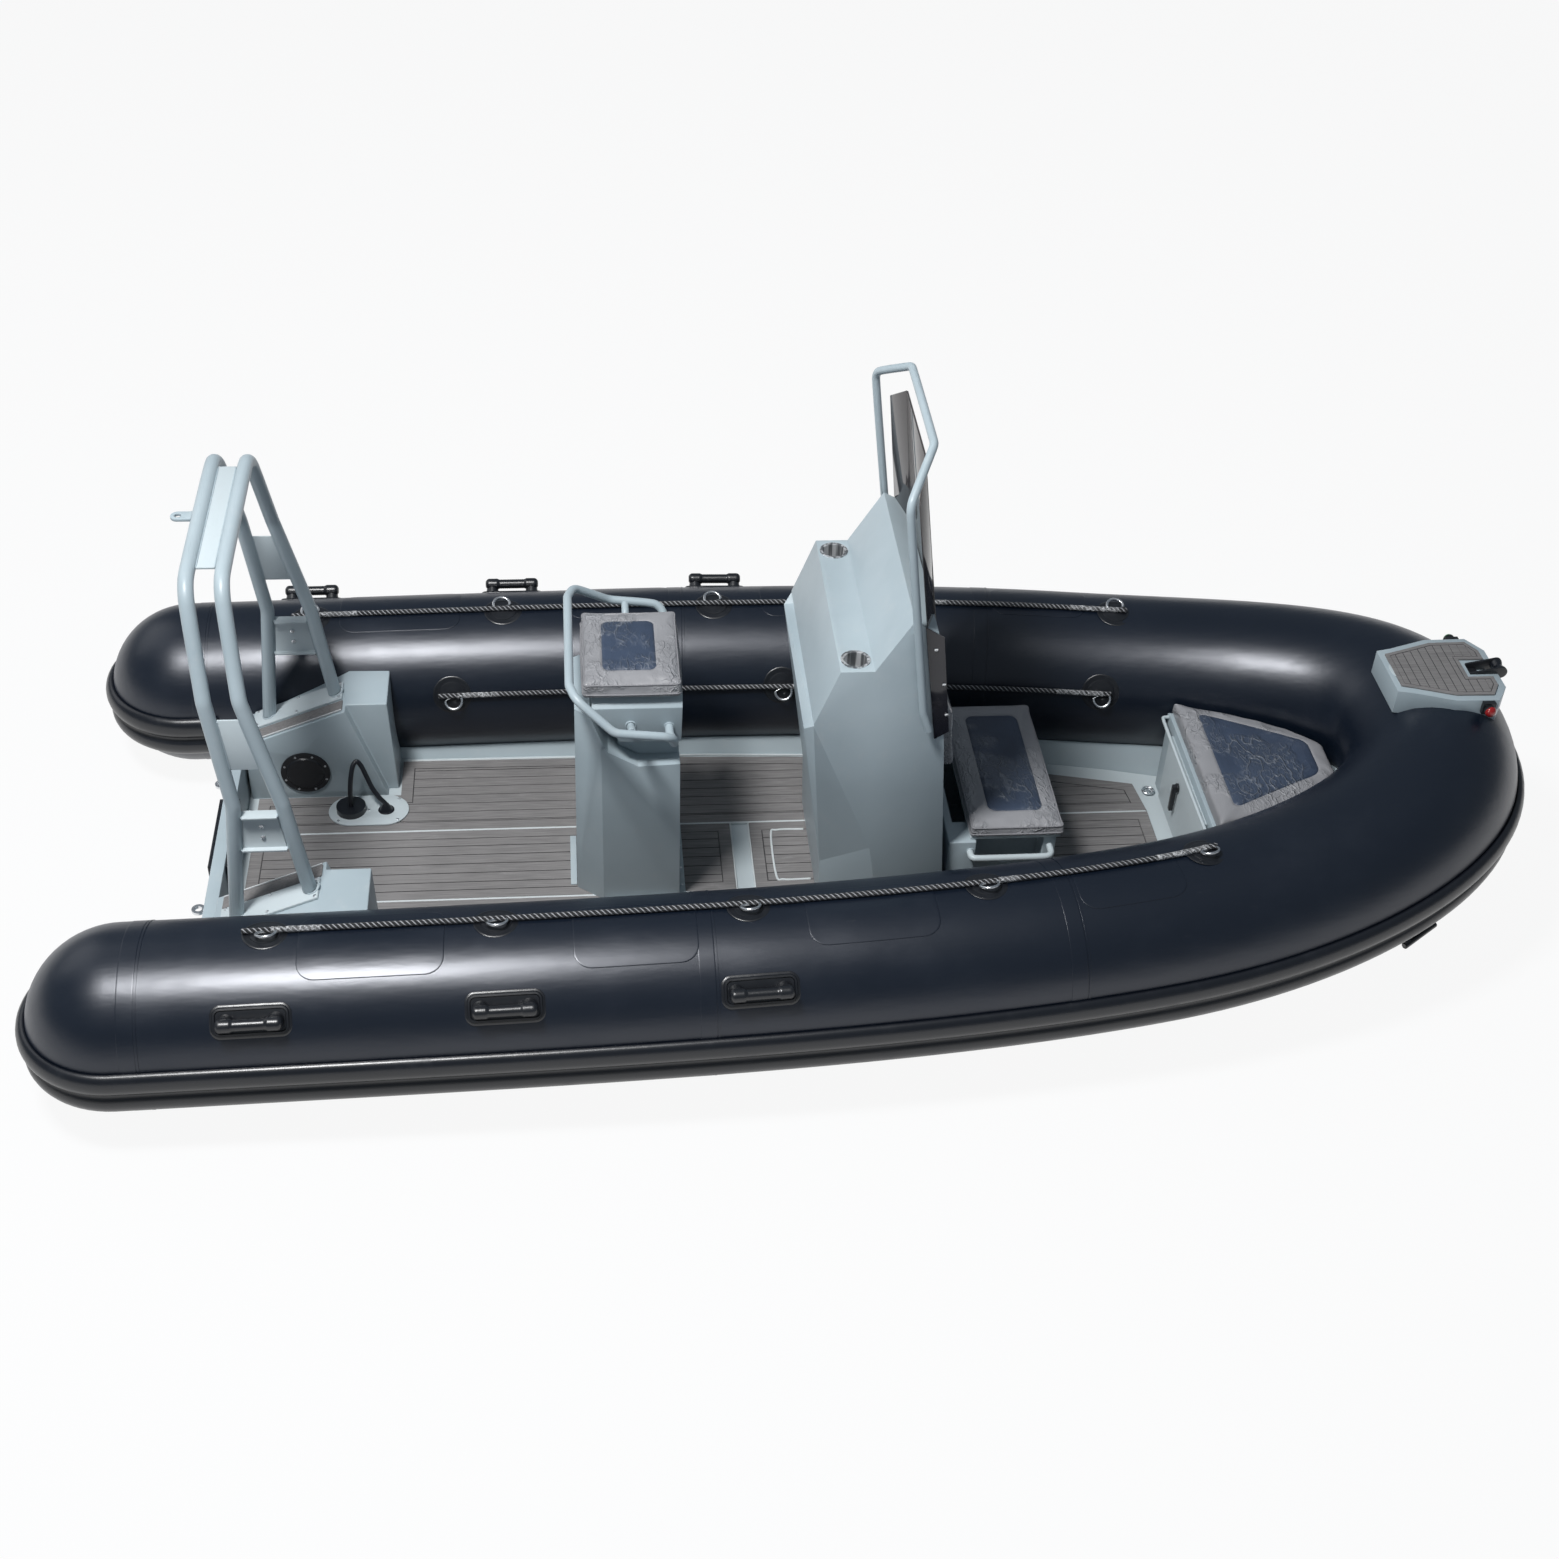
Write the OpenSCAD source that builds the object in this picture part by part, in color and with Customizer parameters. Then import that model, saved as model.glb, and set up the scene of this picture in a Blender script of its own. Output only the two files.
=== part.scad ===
// Inflatable rib boat with an aluminium deep-vee hull, console, leaning post and stern arch.
// X runs forward, Y to port and Z up. The origin is on the centreline, at the waterline,
// level with the middle of the tubes' round aft ends.

/* [Air tubes] */
// Diameter of the air tubes
tube_d = 584; // [540:4:620]
// Distance from the centreline of the boat to the tube centrelines at the stern
half_beam = 873; // [820:1:960]
// Distance from the aft domes' middles to the tube centreline at the bow
bow_reach = 4404; // [4250:1:4700]
// Height of the tube centrelines over the water at the stern
tube_z = 300; // [280:5:320]
// Height that the tubes gain along the straight run, per metre
tube_rise = 23.7; // [10:0.1:30]
// Extra lift of the tubes at the bow
bow_lift = 151; // [100:1:200]

/* [Hull] */
// Height of the deck plate's top over the water
deck_z = 112; // [100:1:118]
// Thickness of the deck plate
deck_t = 8; // [5:1:10]
// Thickness of the foam deck mats
mat_t = 8; // [5:1:10]
// Depth of the keel under the water
keel_depth = 320; // [240:5:400]
// Place of the transom's aft face
transom_x = 180; // [160:5:220]
// Thickness of the transom
transom_t = 45; // [35:5:60]
// Height of the transom's top over the water
transom_top = 300; // [270:5:330]

/* [Stern] */
// Distance from the centreline to the lockers' inboard faces
locker_y = 400; // [360:5:430]
// Place of the stern lockers' forward foot
locker_front = 725; // [680:5:760]
// Outer diameter of the arch tubes
arch_tube_d = 48; // [38:1:60]
// Height of the arch's cross bars over the water
arch_top = 1562; // [1400:2:1750]
// Half the width of the arch's cross bars
arch_half = 378; // [330:2:420]
// Diameter of the hole in the tow eye
tow_hole_d = 20; // [16:1:24]
// Diameter of the round inspection plates
inspection_d = 176; // [150:2:180]

/* [Leaning post] */
// Place of the leaning post's aft face
post_x = 1405; // [1300:5:1500]
// Length of the leaning post
post_len = 352; // [320:2:400]
// Width of the leaning post
post_w = 420; // [380:5:480]
// Height of the leaning post's cushion top over the water
post_top = 1050; // [980:5:1100]
// Thickness of the leaning post's cushion
post_cushion_t = 62; // [40:1:70]
// Outer diameter of the hand rails
rail_d = 30; // [25:1:35]

/* [Console] */
// Width of the console
console_w = 760; // [700:5:800]
// Height of the cup holder ledge over the water
ledge_z = 1200; // [1150:5:1250]
// Inner diameter of the cup holders
cup_d = 74; // [68:1:78]
// Depth of the cup holders
cup_depth = 82; // [60:1:100]
// Thickness of the windshield
shield_t = 6; // [4:0.5:8]
// Height of the windshield's top over the water
shield_top = 1867; // [1800:5:1900]

/* [Seats and bow] */
// Place of the front seat cushion's aft edge
seat_x = 2722; // [2710:2:2760]
// Length of the front seat cushion
seat_len = 335; // [300:5:360]
// Width of the front seat cushion
seat_w = 700; // [640:5:720]
// Height of the front seat cushion's top over the water
seat_top = 520; // [480:5:560]
// Place of the bow locker's aft face
bow_locker_x = 3585; // [3540:5:3620]
// Height of the bow cushion's top over the water
bow_cushion_top = 510; // [490:5:530]
// Diameter of the bow roller
roller_d = 44; // [36:1:50]

/* [Hidden] */

$fn = 48;
seam = 0.3;                 // running gap between pieces that only touch
tube_r = tube_d / 2;
floor_z = deck_z + mat_t;   // what stands on the mats
tube_sides = 32;
curve_x = 462;              // where the tubes start to curve inboard
lift_x = 3243;              // where the bow lift starts
shape_x = 2 / 3.27;         // powers of the bow's plan curve
shape_y = 2 / 2.39;
baffle_aft = 10;            // plan angles of the baffles between the air chambers
baffle_bow = 27.5;

// ---- the tubes' centreline and points around it ----
function mirror_y(p) = [p[0], -p[1], p[2]];
function line_z(x) = tube_z + tube_rise * x / 1000 + bow_lift * pow(max(0, x - lift_x) / (4404 - lift_x), 2);
function plan_x(t) = curve_x + (bow_reach - curve_x) * pow(sin(t), shape_x);
function plan_y(t) = t >= 90 ? 0 : half_beam * pow(cos(t), shape_y);
function plan_angle(x) = x <= curve_x ? 0 : asin(pow(min(1, (x - curve_x) / (bow_reach - curve_x)), 1 / shape_x));
function line_at(t) = [plan_x(t), plan_y(t), line_z(plan_x(t))];
function line_x(x) = x <= curve_x ? [x, half_beam, line_z(x)] : line_at(plan_angle(x));
// Outboard direction, level, at a plan angle
function out_at(t) =
    let (a = max(0.001, min(89.999, t)),
         dx = (bow_reach - curve_x) * shape_x * pow(sin(a), shape_x - 1) * cos(a),
         dy = -half_beam * shape_y * pow(cos(a), shape_y - 1) * sin(a),
         l = norm([dx, dy]))
    t <= 0 ? [0, 1, 0] : t >= 90 ? [1, 0, 0] : [-dy / l, dx / l, 0];
function out_x(x) = x <= curve_x ? [0, 1, 0] : out_at(plan_angle(x));
// Point on the tube at a place, an angle from outboard level towards the top, and a radius
function round_at(c, n, a, r) = c + r * (cos(a) * n + sin(a) * [0, 0, 1]);
function on_tube(x, a, r) = round_at(line_x(x), out_x(x), a, r);
// Distance of the tube's inboard wall from the centreline at a height
function wall_y(x, z, gap) = line_x(x)[1] - sqrt(pow(tube_r + gap, 2) - pow(z - line_x(x)[2], 2));
function ring_at(t, r, sides) = [for (k = [0 : sides - 1]) round_at(line_at(t), out_at(t), k * 360 / sides, r)];
function ring_x(x, r, sides) = [for (k = [0 : sides - 1]) round_at(line_x(x), out_x(x), k * 360 / sides, r)];

// ---- swept solids ----
function turned(face) = [for (k = [len(face) - 1 : -1 : 0]) face[k]];
// Solid through rings of points that turn right-handed about the way they lead
module skin(rings) {
    n = len(rings[0]);
    m = len(rings);
    sides = [for (i = [0 : m - 2], j = [0 : n - 1])
        let (a = i * n + j, b = i * n + (j + 1) % n, c = a + n, d = b + n)
        each [[a, b, d], [a, d, c]]];
    caps = [[for (j = [n - 1 : -1 : 0]) j], [for (j = [0 : n - 1]) (m - 1) * n + j]];
    polyhedron(points = [for (r = rings) each r], faces = [for (f = concat(sides, caps)) turned(f)], convexity = 8);
}
// Solid through mirror-symmetric rings whose ends close with rungs between port and starboard.
// Each half ring starts on the centreline.
module ladder_skin(half_rings) {
    h = len(half_rings[0]);
    n = 2 * h - 1;
    m = len(half_rings);
    rings = [for (r = half_rings) concat(r, [for (j = [h - 1 : -1 : 1]) mirror_y(r[j])])];
    sides = [for (i = [0 : m - 2], j = [0 : n - 1])
        let (a = i * n + j, b = i * n + (j + 1) % n, c = a + n, d = b + n)
        each [[a, b, c], [b, d, c]]];
    rungs = [for (j = [0 : h - 2])
        j == 0 ? [[0, n - 1, 1]] : [[j, n - j, n - j - 1], [j, n - j - 1, j + 1]]];
    near = [for (g = rungs) each g];
    far = [for (f = near) [for (k = [2 : -1 : 0]) f[k] + (m - 1) * n]];
    polyhedron(points = [for (r = rings) each r], faces = [for (f = concat(sides, near, far)) turned(f)],
        convexity = 10);
}
function unit(v) = v / norm(v);
// Rounds the corners of a path: each inner point becomes an arc of the given radius
function bent(path, r, steps) = concat([path[0]],
    [for (i = [1 : len(path) - 2])
        let (a = unit(path[i - 1] - path[i]), b = unit(path[i + 1] - path[i]),
             half = acos(max(-1, min(1, a * b))) / 2,
             cut = min(r / tan(half), 0.45 * norm(path[i - 1] - path[i]), 0.45 * norm(path[i + 1] - path[i])),
             rr = cut * tan(half), mid = unit(a + b), c = path[i] + mid * rr / sin(half),
             p = path[i] + a * cut - c, q = path[i] + b * cut - c, turn = 180 - 2 * half)
        each half > 88 ? [path[i]] : [for (k = [0 : steps])
            c + (p * sin(turn * (1 - k / steps)) + q * sin(turn * k / steps)) / sin(turn)]],
    [path[len(path) - 1]]);
function path_dir(path, i) = let (m = len(path) - 1)
    i == 0 ? unit(path[1] - path[0]) : i == m ? unit(path[m] - path[m - 1])
    : unit(unit(path[i] - path[i - 1]) + unit(path[i + 1] - path[i]));
// Side directions carried along the path without twist
function sides_along(path, side) = [for (i = 0, d = path_dir(path, 0), s = unit(side - d * (side * d));
    i < len(path); i = i + 1, d = path_dir(path, min(i, len(path) - 1)), s = unit(s - d * (s * d))) s];
// Round bar of radius r along a path
module bar(path, r, sides = 12, side = [0, 0.02, 1]) {
    ss = sides_along(path, side);
    skin([for (i = [0 : len(path) - 1])
        let (d = path_dir(path, i), s = ss[i], u = cross(d, s))
        [for (k = [0 : sides - 1]) path[i] + r * (cos(k * 360 / sides) * s + sin(k * 360 / sides) * u)]]);
}
module both() { children(); mirror([0, 1, 0]) children(); }
// Extrudes an outline in X and Z across the boat
module across(outline, y0, y1) {
    translate([0, y1, 0]) rotate([90, 0, 0]) linear_extrude(height = y1 - y0) polygon(outline);
}
// Turned so that local X runs along the tube and local Z points away from its surface
module seated(x, a, r) {
    n = out_x(x);
    along = unit(line_x(x + 5) - line_x(x - 5));
    straight = cos(a) * n + sin(a) * [0, 0, 1];
    away = unit(straight - along * (straight * along));
    side = cross(away, along);
    translate(on_tube(x, a, r)) rotate([atan2(side[2], away[2]), -asin(along[2]), atan2(along[1], along[0])]) children();
}
// The air tube under a seated piece, to hollow the piece's foot
module seat_round(r, length) {
    translate([0, 0, -r]) rotate([0, 90, 0]) cylinder(r = r + seam, h = length, center = true, $fn = 360);
}

// ---- plan of the hull ----
side_ts = [2.5, 5, baffle_aft, 14, 18, 22.5, baffle_bow, 31, 35, 40, 46, 52, 58, 64, 70, 76, 81, 85];
keel_flat_x = 2400;         // where the keel starts to rise
stem_z = 170;               // height of the stem's top over the water
rim_in = 15;                // width of the hull's rim inboard of the tube's seat
function keel_z(x) = -keel_depth + (stem_z + keel_depth) * pow(max(0, x - keel_flat_x) / (bow_reach - 110 - keel_flat_x), 2.2);
function hull_half(c, n) =
    let (kx = c[0] - 110 * n[0], foot = c - (tube_r * 0.8315 + rim_in) * n,
         seat = [for (k = [23 : -1 : 19]) round_at(c, n, k * 11.25, tube_r + seam)])
    concat([[kx, 0, keel_z(kx)], c - 90 * n - [0, 0, tube_r + 70]], seat,
        [[foot[0], foot[1], deck_z - deck_t]]);
function foot_xy(c, n, inset) = let (f = c - (tube_r * 0.8315 + rim_in + inset) * n) [f[0], f[1]];

module hull() {
    color([0.62, 0.70, 0.74])
    ladder_skin(concat([hull_half(line_x(transom_x), [0, 1, 0])],
        [for (t = side_ts) hull_half(line_at(t), out_at(t))]));
}
module transom() {
    // its ends follow the tubes' inboard walls
    foot_half = half_beam - tube_r * 0.8315 - rim_in - 1;
    side = concat([[foot_half, deck_z - deck_t], [foot_half, deck_z + 36]],
        [for (z = [deck_z + 50 : 23 : transom_top]) [wall_y(transom_x, z, 2 * seam), z]],
        [[wall_y(transom_x, transom_top, 2 * seam), transom_top]]);
    color([0.66, 0.74, 0.78])
    translate([transom_x, 0, 0]) rotate([90, 0, 90]) linear_extrude(height = transom_t)
        polygon(concat(side, [for (i = [len(side) - 1 : -1 : 0]) [-side[i][0], side[i][1]]]));
}
pad_half = 180;             // half the width of the outboard's pads
pad_t = 12;
module engine_pads() {
    color([0.12, 0.12, 0.13]) {
        translate([transom_x - pad_t, -pad_half, transom_top - 240]) cube([pad_t, 2 * pad_half, 236]);
        translate([transom_x + transom_t, -pad_half, transom_top - 150]) cube([pad_t, 2 * pad_half, 146]);
    }
}
deck_end_t = 70;
deck_gap = 2;
module deck_panel() {
    ts = [for (t = side_ts) if (t <= deck_end_t) t];
    x0 = transom_x + transom_t + seam;
    half = concat([foot_xy([x0, half_beam, 0], [0, 1, 0], deck_gap)], [for (t = ts) foot_xy(line_at(t), out_at(t), deck_gap)]);
    color([0.66, 0.74, 0.78])
    translate([0, 0, deck_z - deck_t]) linear_extrude(height = deck_t)
        polygon(concat(half, [for (i = [len(half) - 1 : -1 : 0]) [half[i][0], -half[i][1]]]));
}
mat_x = 262;                // aft edge of the deck mats
strip_y = 185;              // the aluminium strips between the mats lie this far from the centreline
strip_w = 9;
break_x = 1958;             // crosswise strip between the leaning post and the console
break_w = 72;
mat_end_x = 3515;
mat_margin = 28;
mat_wide_x = locker_front + 45;
module deck_mats() {
    aft_y = locker_y - 10;
    color([0.45, 0.42, 0.41]) translate([0, 0, deck_z]) linear_extrude(height = mat_t) {
        // middle mats, aft and forward of the crosswise strip
        translate([mat_x, -strip_y + strip_w / 2]) square([break_x - mat_x, 2 * strip_y - strip_w]);
        translate([break_x + break_w, -strip_y + strip_w / 2]) square([mat_end_x - break_x - break_w, 2 * strip_y - strip_w]);
        // side mats, narrow beside the lockers and tapered to the bow
        for (s = [-1, 1]) polygon([for (p = concat(
            [[mat_x, strip_y + strip_w / 2], [mat_x, aft_y], [mat_wide_x, aft_y]],
            [for (x = [mat_wide_x, 1200, 1700, 2200, 2700])
                let (f = foot_xy(line_x(x), out_x(x), mat_margin)) [x, f[1]]],
            [[mat_end_x - 20, 345], [mat_end_x, strip_y + strip_w / 2]])) [p[0], s * p[1]]]);
    }
}

// ---- air tubes: five chambers that meet at the baffles ----
// A chamber's aft end, a seam's width ahead of the baffle
function baffle_ring(t) = let (n = out_at(t)) [for (p = ring_at(t, tube_r, tube_sides)) p + seam * [n[1], -n[0], 0]];
cap_angles = [for (a = [6 : 12 : 78]) a];
module tube_aft() {
    dome = [for (a = cap_angles) let (r = tube_r * sin(a))
        [for (k = [0 : tube_sides - 1]) round_at([-tube_r * cos(a), half_beam, line_z(0)], [0, 1, 0], k * 360 / tube_sides, r)]];
    skin(concat(dome, [for (x = [0, transom_x, 460]) ring_x(x, tube_r, tube_sides)],
        [for (t = side_ts) if (t <= baffle_aft) ring_at(t, tube_r, tube_sides)]));
}
module tube_mid() {
    skin(concat([baffle_ring(baffle_aft)],
        [for (t = side_ts) if (t > baffle_aft && t <= baffle_bow) ring_at(t, tube_r, tube_sides)]));
}
module tube_aft_port() { color([0.09, 0.10, 0.12]) tube_aft(); }
module tube_aft_starboard() { color([0.09, 0.10, 0.12]) mirror([0, 1, 0]) tube_aft(); }
module tube_mid_port() { color([0.09, 0.10, 0.12]) tube_mid(); }
module tube_mid_starboard() { color([0.09, 0.10, 0.12]) mirror([0, 1, 0]) tube_mid(); }
module tube_bow() {
    port = concat([baffle_ring(baffle_bow)],
        [for (t = concat([for (t = side_ts) if (t > baffle_bow) t], [90])) ring_at(t, tube_r, tube_sides)]);
    starboard = [for (i = [len(port) - 2 : -1 : 0]) [for (p = port[i]) mirror_y(p)]];
    color([0.09, 0.10, 0.12]) skin(concat(port, starboard));
}

// ---- trim on the tubes ----
strake_a = -11.25;          // angle of the rubbing strake's middle, from outboard level
strake_half = 11.25;        // half the angle that its foot covers
strake_h = 24;
strake_inner_x = 120;       // where it ends on the tubes' inboard sides
module rubbing_strake() {
    // two ridges with a groove between them
    profile = [[-1, 0], [-1.12, 0.1], [-1.05, 0.6], [-0.66, 1], [-0.3, 0.95], [-0.09, 0.45],
        [0.09, 0.45], [0.3, 0.95], [0.66, 1], [1.05, 0.6], [1.12, 0.1], [1, 0], [0, 0]];
    ts = concat([for (t = side_ts) t], [90]);
    function section(c, n, lift = 0) =
        [for (p = profile) round_at(c, n, strake_a + p[0] * strake_half, tube_r + seam + lift + p[1] * strake_h)];
    // around the round ends it stands off by what its own flats would cut into them
    dome_lift = tube_r * (1 / cos(5) / cos(strake_half / 2) - 1);
    port = concat([section([strake_inner_x, half_beam, line_z(strake_inner_x)], [0, -1, 0])],
        [for (k = [180 : -10 : 0]) section([0, half_beam, line_z(0)], [-sin(k), cos(k), 0], k % 180 == 0 ? 0 : dome_lift)],
        [section(line_x(transom_x), [0, 1, 0]), section(line_x(460), [0, 1, 0])],
        [for (t = ts) section(line_at(t), out_at(t))]);
    starboard = [for (i = [len(port) - 2 : -1 : 0]) [for (p = port[i]) mirror_y(p)]];
    color([0.11, 0.11, 0.13]) skin(concat(port, starboard));
}
handle_xs = [430, 1181, 1948];
handle_a = 38;
handle_len = 225;
handle_d = 30;
handle_stand = 42;          // height of the grip's middle over the tube
pad_h = 7;
pad_w = 86;
module grab_handle() {
    // moulded base with rounded ends, hollowed to sit on the tube
    difference() {
        translate([0, 0, -4]) linear_extrude(height = pad_h + 4) {
            square([handle_len - 10, pad_w], center = true);
            for (s = [-1, 1]) translate([s * (handle_len / 2 - 5), 0]) circle(d = pad_w);
        }
        seat_round(tube_r, 2 * handle_len);
    }
    for (s = [-1, 1]) translate([s * (handle_len / 2 - 16), 0, pad_h]) cylinder(d = 34, h = handle_stand - pad_h);
    translate([-handle_len / 2, 0, handle_stand]) rotate([0, 90, 0]) cylinder(d = handle_d, h = handle_len);
}
module grab_handles() {
    color([0.08, 0.08, 0.09]) both() for (x = handle_xs) seated(x, handle_a, tube_r) grab_handle();
}
bow_handle_x = 4105;
bow_handle_a = -40;
module bow_handles() {
    color([0.08, 0.08, 0.09]) both() seated(bow_handle_x, bow_handle_a, tube_r - 2 * seam) {
        translate([-80, -28, 0]) cube([160, 56, 8]);
        for (s = [-1, 1]) translate([s * 58 - 12, -12, 8]) cube([24, 24, 24]);
        translate([-75, 0, 36]) rotate([0, 90, 0]) cylinder(d = 22, h = 150);
    }
}
rope_d = 12;
ring_xs = [459, 1156, 1935, 2693, 3430];
ring_a = 96;
inner_xs = [967, 2187, 3400];
inner_a = 161;
ring_wire = 7;
ring_r = 16;
patch_d = 92;
patch_t = 3;
bend_lift = 1.3;            // the patches stand off this much where the tubes bend most
rope_lift = patch_t + bend_lift + seam + rope_d / 2;    // height of the rope's middle over the tube
module lifeline_ring() {
    // patch, and a wire ring that the rope runs through
    difference() {
        union() {
            translate([0, 0, -5]) cylinder(d = patch_d, h = 5 + patch_t);
            translate([-ring_wire / 2, 0, rope_lift]) rotate([0, 90, 0]) linear_extrude(height = ring_wire) difference() {
                circle(r = ring_r + ring_wire / 2);
                circle(r = ring_r - ring_wire / 2);
            }
        }
        seat_round(tube_r, 2 * patch_d);
    }
}
// The patches stand off a little where the tubes bend
function patch_lift(x) = x > 3000 ? bend_lift : x > 2500 ? bend_lift - 0.2 : x > 2000 ? bend_lift / 2 : 0;
module lifeline_rings() {
    color([0.10, 0.10, 0.11]) both() {
        for (x = ring_xs) seated(x, ring_a, tube_r + patch_lift(x)) lifeline_ring();
        for (x = inner_xs) seated(x, inner_a, tube_r + patch_lift(x)) lifeline_ring();
    }
}
function lifeline(xs, a, extra) = concat(
    [for (i = [0 : len(xs) - 2]) each
        [for (s = [0 : 0.25 : 0.75]) on_tube(xs[i] + (xs[i + 1] - xs[i]) * s, a, tube_r + rope_lift)]],
    [on_tube(xs[len(xs) - 1], a, tube_r + rope_lift), on_tube(xs[len(xs) - 1] + extra, a, tube_r + rope_lift)]);
module lifelines_outer() {
    color([0.14, 0.14, 0.15]) both()
        bar(concat([on_tube(ring_xs[0] - 70, ring_a, tube_r + rope_lift)], lifeline(ring_xs, ring_a, 40)), rope_d / 2, 8);
}
module lifelines_inner() {
    color([0.14, 0.14, 0.15]) both()
        bar(concat([on_tube(inner_xs[0] - 50, inner_a, tube_r + rope_lift)], lifeline(inner_xs, inner_a, 40)), rope_d / 2, 8);
}

// ---- stern ----
locker_x = 235;             // aft face of the lockers
top_aft = [235, 355];       // the locker's sloped top, aft and forward ends
top_fwd = [600, 500];
top_slope = (top_fwd[1] - top_aft[1]) / (top_fwd[0] - top_aft[0]);
function locker_top(x) = top_aft[1] + top_slope * (x - top_aft[0]);
block_x = [600, 745];
block_y = 440;
tube_clear = 0.9;
module collar_cut() {
    // room for the air tube, as one straight cylinder along the stern
    rise = atan(tube_rise / 1000);
    translate([0, half_beam, tube_z]) rotate([0, 90 - rise, 0]) translate([0, 0, -100]) cylinder(r = tube_r + tube_clear, h = 1000, $fn = 96);
}
plate_x = 438;              // middle of the inspection plates
plate_z = 232;
rim_foot_y = half_beam - tube_r * 0.8315 - rim_in - 1;
module stern_locker() {
    difference() {
        union() {
            across([[locker_x, deck_z], [locker_front, deck_z], top_fwd, [locker_x, locker_top(locker_x)]], locker_y, half_beam - 120);
            across([[block_x[0], deck_z], [block_x[1] + 15, deck_z], [block_x[1], 500], [block_x[0], 500]], block_y, half_beam - 120);
        }
        collar_cut();
        // room for the hull's rim
        translate([locker_x - 5, 0, 0]) rotate([90, 0, 90]) linear_extrude(height = 600)
            polygon([[rim_foot_y, deck_z - deck_t], [rim_foot_y + rim_in, deck_z + 48], [half_beam, deck_z + 48], [half_beam, deck_z - deck_t]]);
        translate([plate_x, locker_y - 1, plate_z]) rotate([-90, 0, 0]) cylinder(d = inspection_d - 30, h = 90);
    }
}
module stern_locker_port() { color([0.62, 0.70, 0.74]) stern_locker(); }
module stern_locker_starboard() { color([0.62, 0.70, 0.74]) mirror([0, 1, 0]) stern_locker(); }
on_top = atan(top_slope);
module on_locker(x, y, lift = 0) {
    translate([x, y, locker_top(x)]) rotate([0, -on_top, 0]) translate([0, 0, lift]) children();
}
module locker_pads() {
    color([0.45, 0.42, 0.41]) both() on_locker(260, locker_y + 12) cube([355, 58, 5]);
}
foot_t = 10;
foot_y = 478;
module arch_feet() {
    color([0.72, 0.79, 0.82]) both() on_locker(262, foot_y) cube([350, 100, foot_t]);
}
module inspection_plates() {
    color([0.05, 0.05, 0.06]) both() translate([plate_x, locker_y, plate_z]) rotate([90, 0, 0]) {
        cylinder(d = inspection_d, h = 7);
        translate([0, 0, 7]) cylinder(d1 = inspection_d - 40, d2 = inspection_d - 48, h = 5);
        translate([0, 0, -40]) cylinder(d = inspection_d - 40, h = 40);
    }
}

// ---- arch ----
arch_r = arch_tube_d / 2;
aft_foot = [313, 530];
fwd_foot = [560, 526];
bend_r = 110;
bend_steps = 4;
knee_z = 850;
shoulder_z = 1230;
aft_top_x = 289;            // the two cross bars
fwd_top_x = 393;
aft_lean = 47;              // each leg leans this far from its foot to its knee
fwd_lean = -52;
function arch_side(foot, lean, x_top, half_top) = [[foot[0], foot[1], locker_top(foot[0]) - 20], [foot[0] + lean, foot[1], knee_z],
    [x_top + 28, 505, shoulder_z], [x_top, half_top, arch_top]];
aft_side = arch_side(aft_foot, aft_lean, aft_top_x, arch_half);
fwd_side = arch_side(fwd_foot, fwd_lean, fwd_top_x, arch_half - 4);
module hoop(side) {
    path = concat(side, [for (i = [3 : -1 : 0]) mirror_y(side[i])]);
    difference() {
        bar(bent(path, bend_r, bend_steps), arch_r, 16, [1, 0, 0]);
        both() on_locker(side[0][0] - 60, side[0][1] - 60, foot_t + seam - 80) cube([120, 120, 80]);
    }
}
module arch_aft_hoop() { color([0.66, 0.74, 0.78]) hoop(aft_side); }
module arch_forward_hoop() { color([0.66, 0.74, 0.78]) hoop(fwd_side); }
plate_t = 6;
side_plate_z = [985, 1165];
step_z_low = 676;           // the steps' lower and upper flanges
step_z_high = 808;
step_w = 40;
// Place of a leg's axis at a height, from its points below and above
function leg_at(side, z) = let (p = side[z < knee_z ? 0 : 1], q = side[z < knee_z ? 1 : 2]) p + (q - p) * (z - p[2]) / (q[2] - p[2]);
function web_aft(z) = leg_at(aft_side, z)[0] + arch_r * 1.008 + seam;
function web_fwd(z) = leg_at(fwd_side, z)[0] - arch_r * 1.028 - seam;
function web_y(z) = (leg_at(aft_side, z)[1] + leg_at(fwd_side, z)[1]) / 2;
module arch_plates() {
    color([0.70, 0.77, 0.80]) {
        // plate between the cross bars
        translate([aft_top_x + arch_r + seam, -290, arch_top - plate_t / 2])
            cube([fwd_top_x - aft_top_x - arch_tube_d - 2 * seam, 580, plate_t]);
        both() {
            // side plates, leaning in with the legs
            pane([for (p = [[0, 0], [0, 1], [1, 1], [1, 0]]) let (z = side_plate_z[p[1]])
                [p[0] == 0 ? web_aft(z) : web_fwd(z), web_y(z) - plate_t / 2, z]], [0, plate_t, 0]);
            // steps: a web with a flange under it and one over it
            across([for (p = [[0, 0], [1, 0], [1, 1], [0, 1]]) let (z = p[1] == 0 ? step_z_low : step_z_high)
                [p[0] == 0 ? web_aft(z) + 2 : web_fwd(z) - 2, z]], web_y(step_z_low) - plate_t / 2, web_y(step_z_low) + plate_t / 2);
            for (z = [step_z_low, step_z_high]) translate([web_aft(z + 3), web_y(z) - step_w / 2, z - plate_t / 2])
                cube([web_fwd(z + 3) - web_aft(z + 3), step_w, plate_t]);
        }
    }
}
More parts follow.
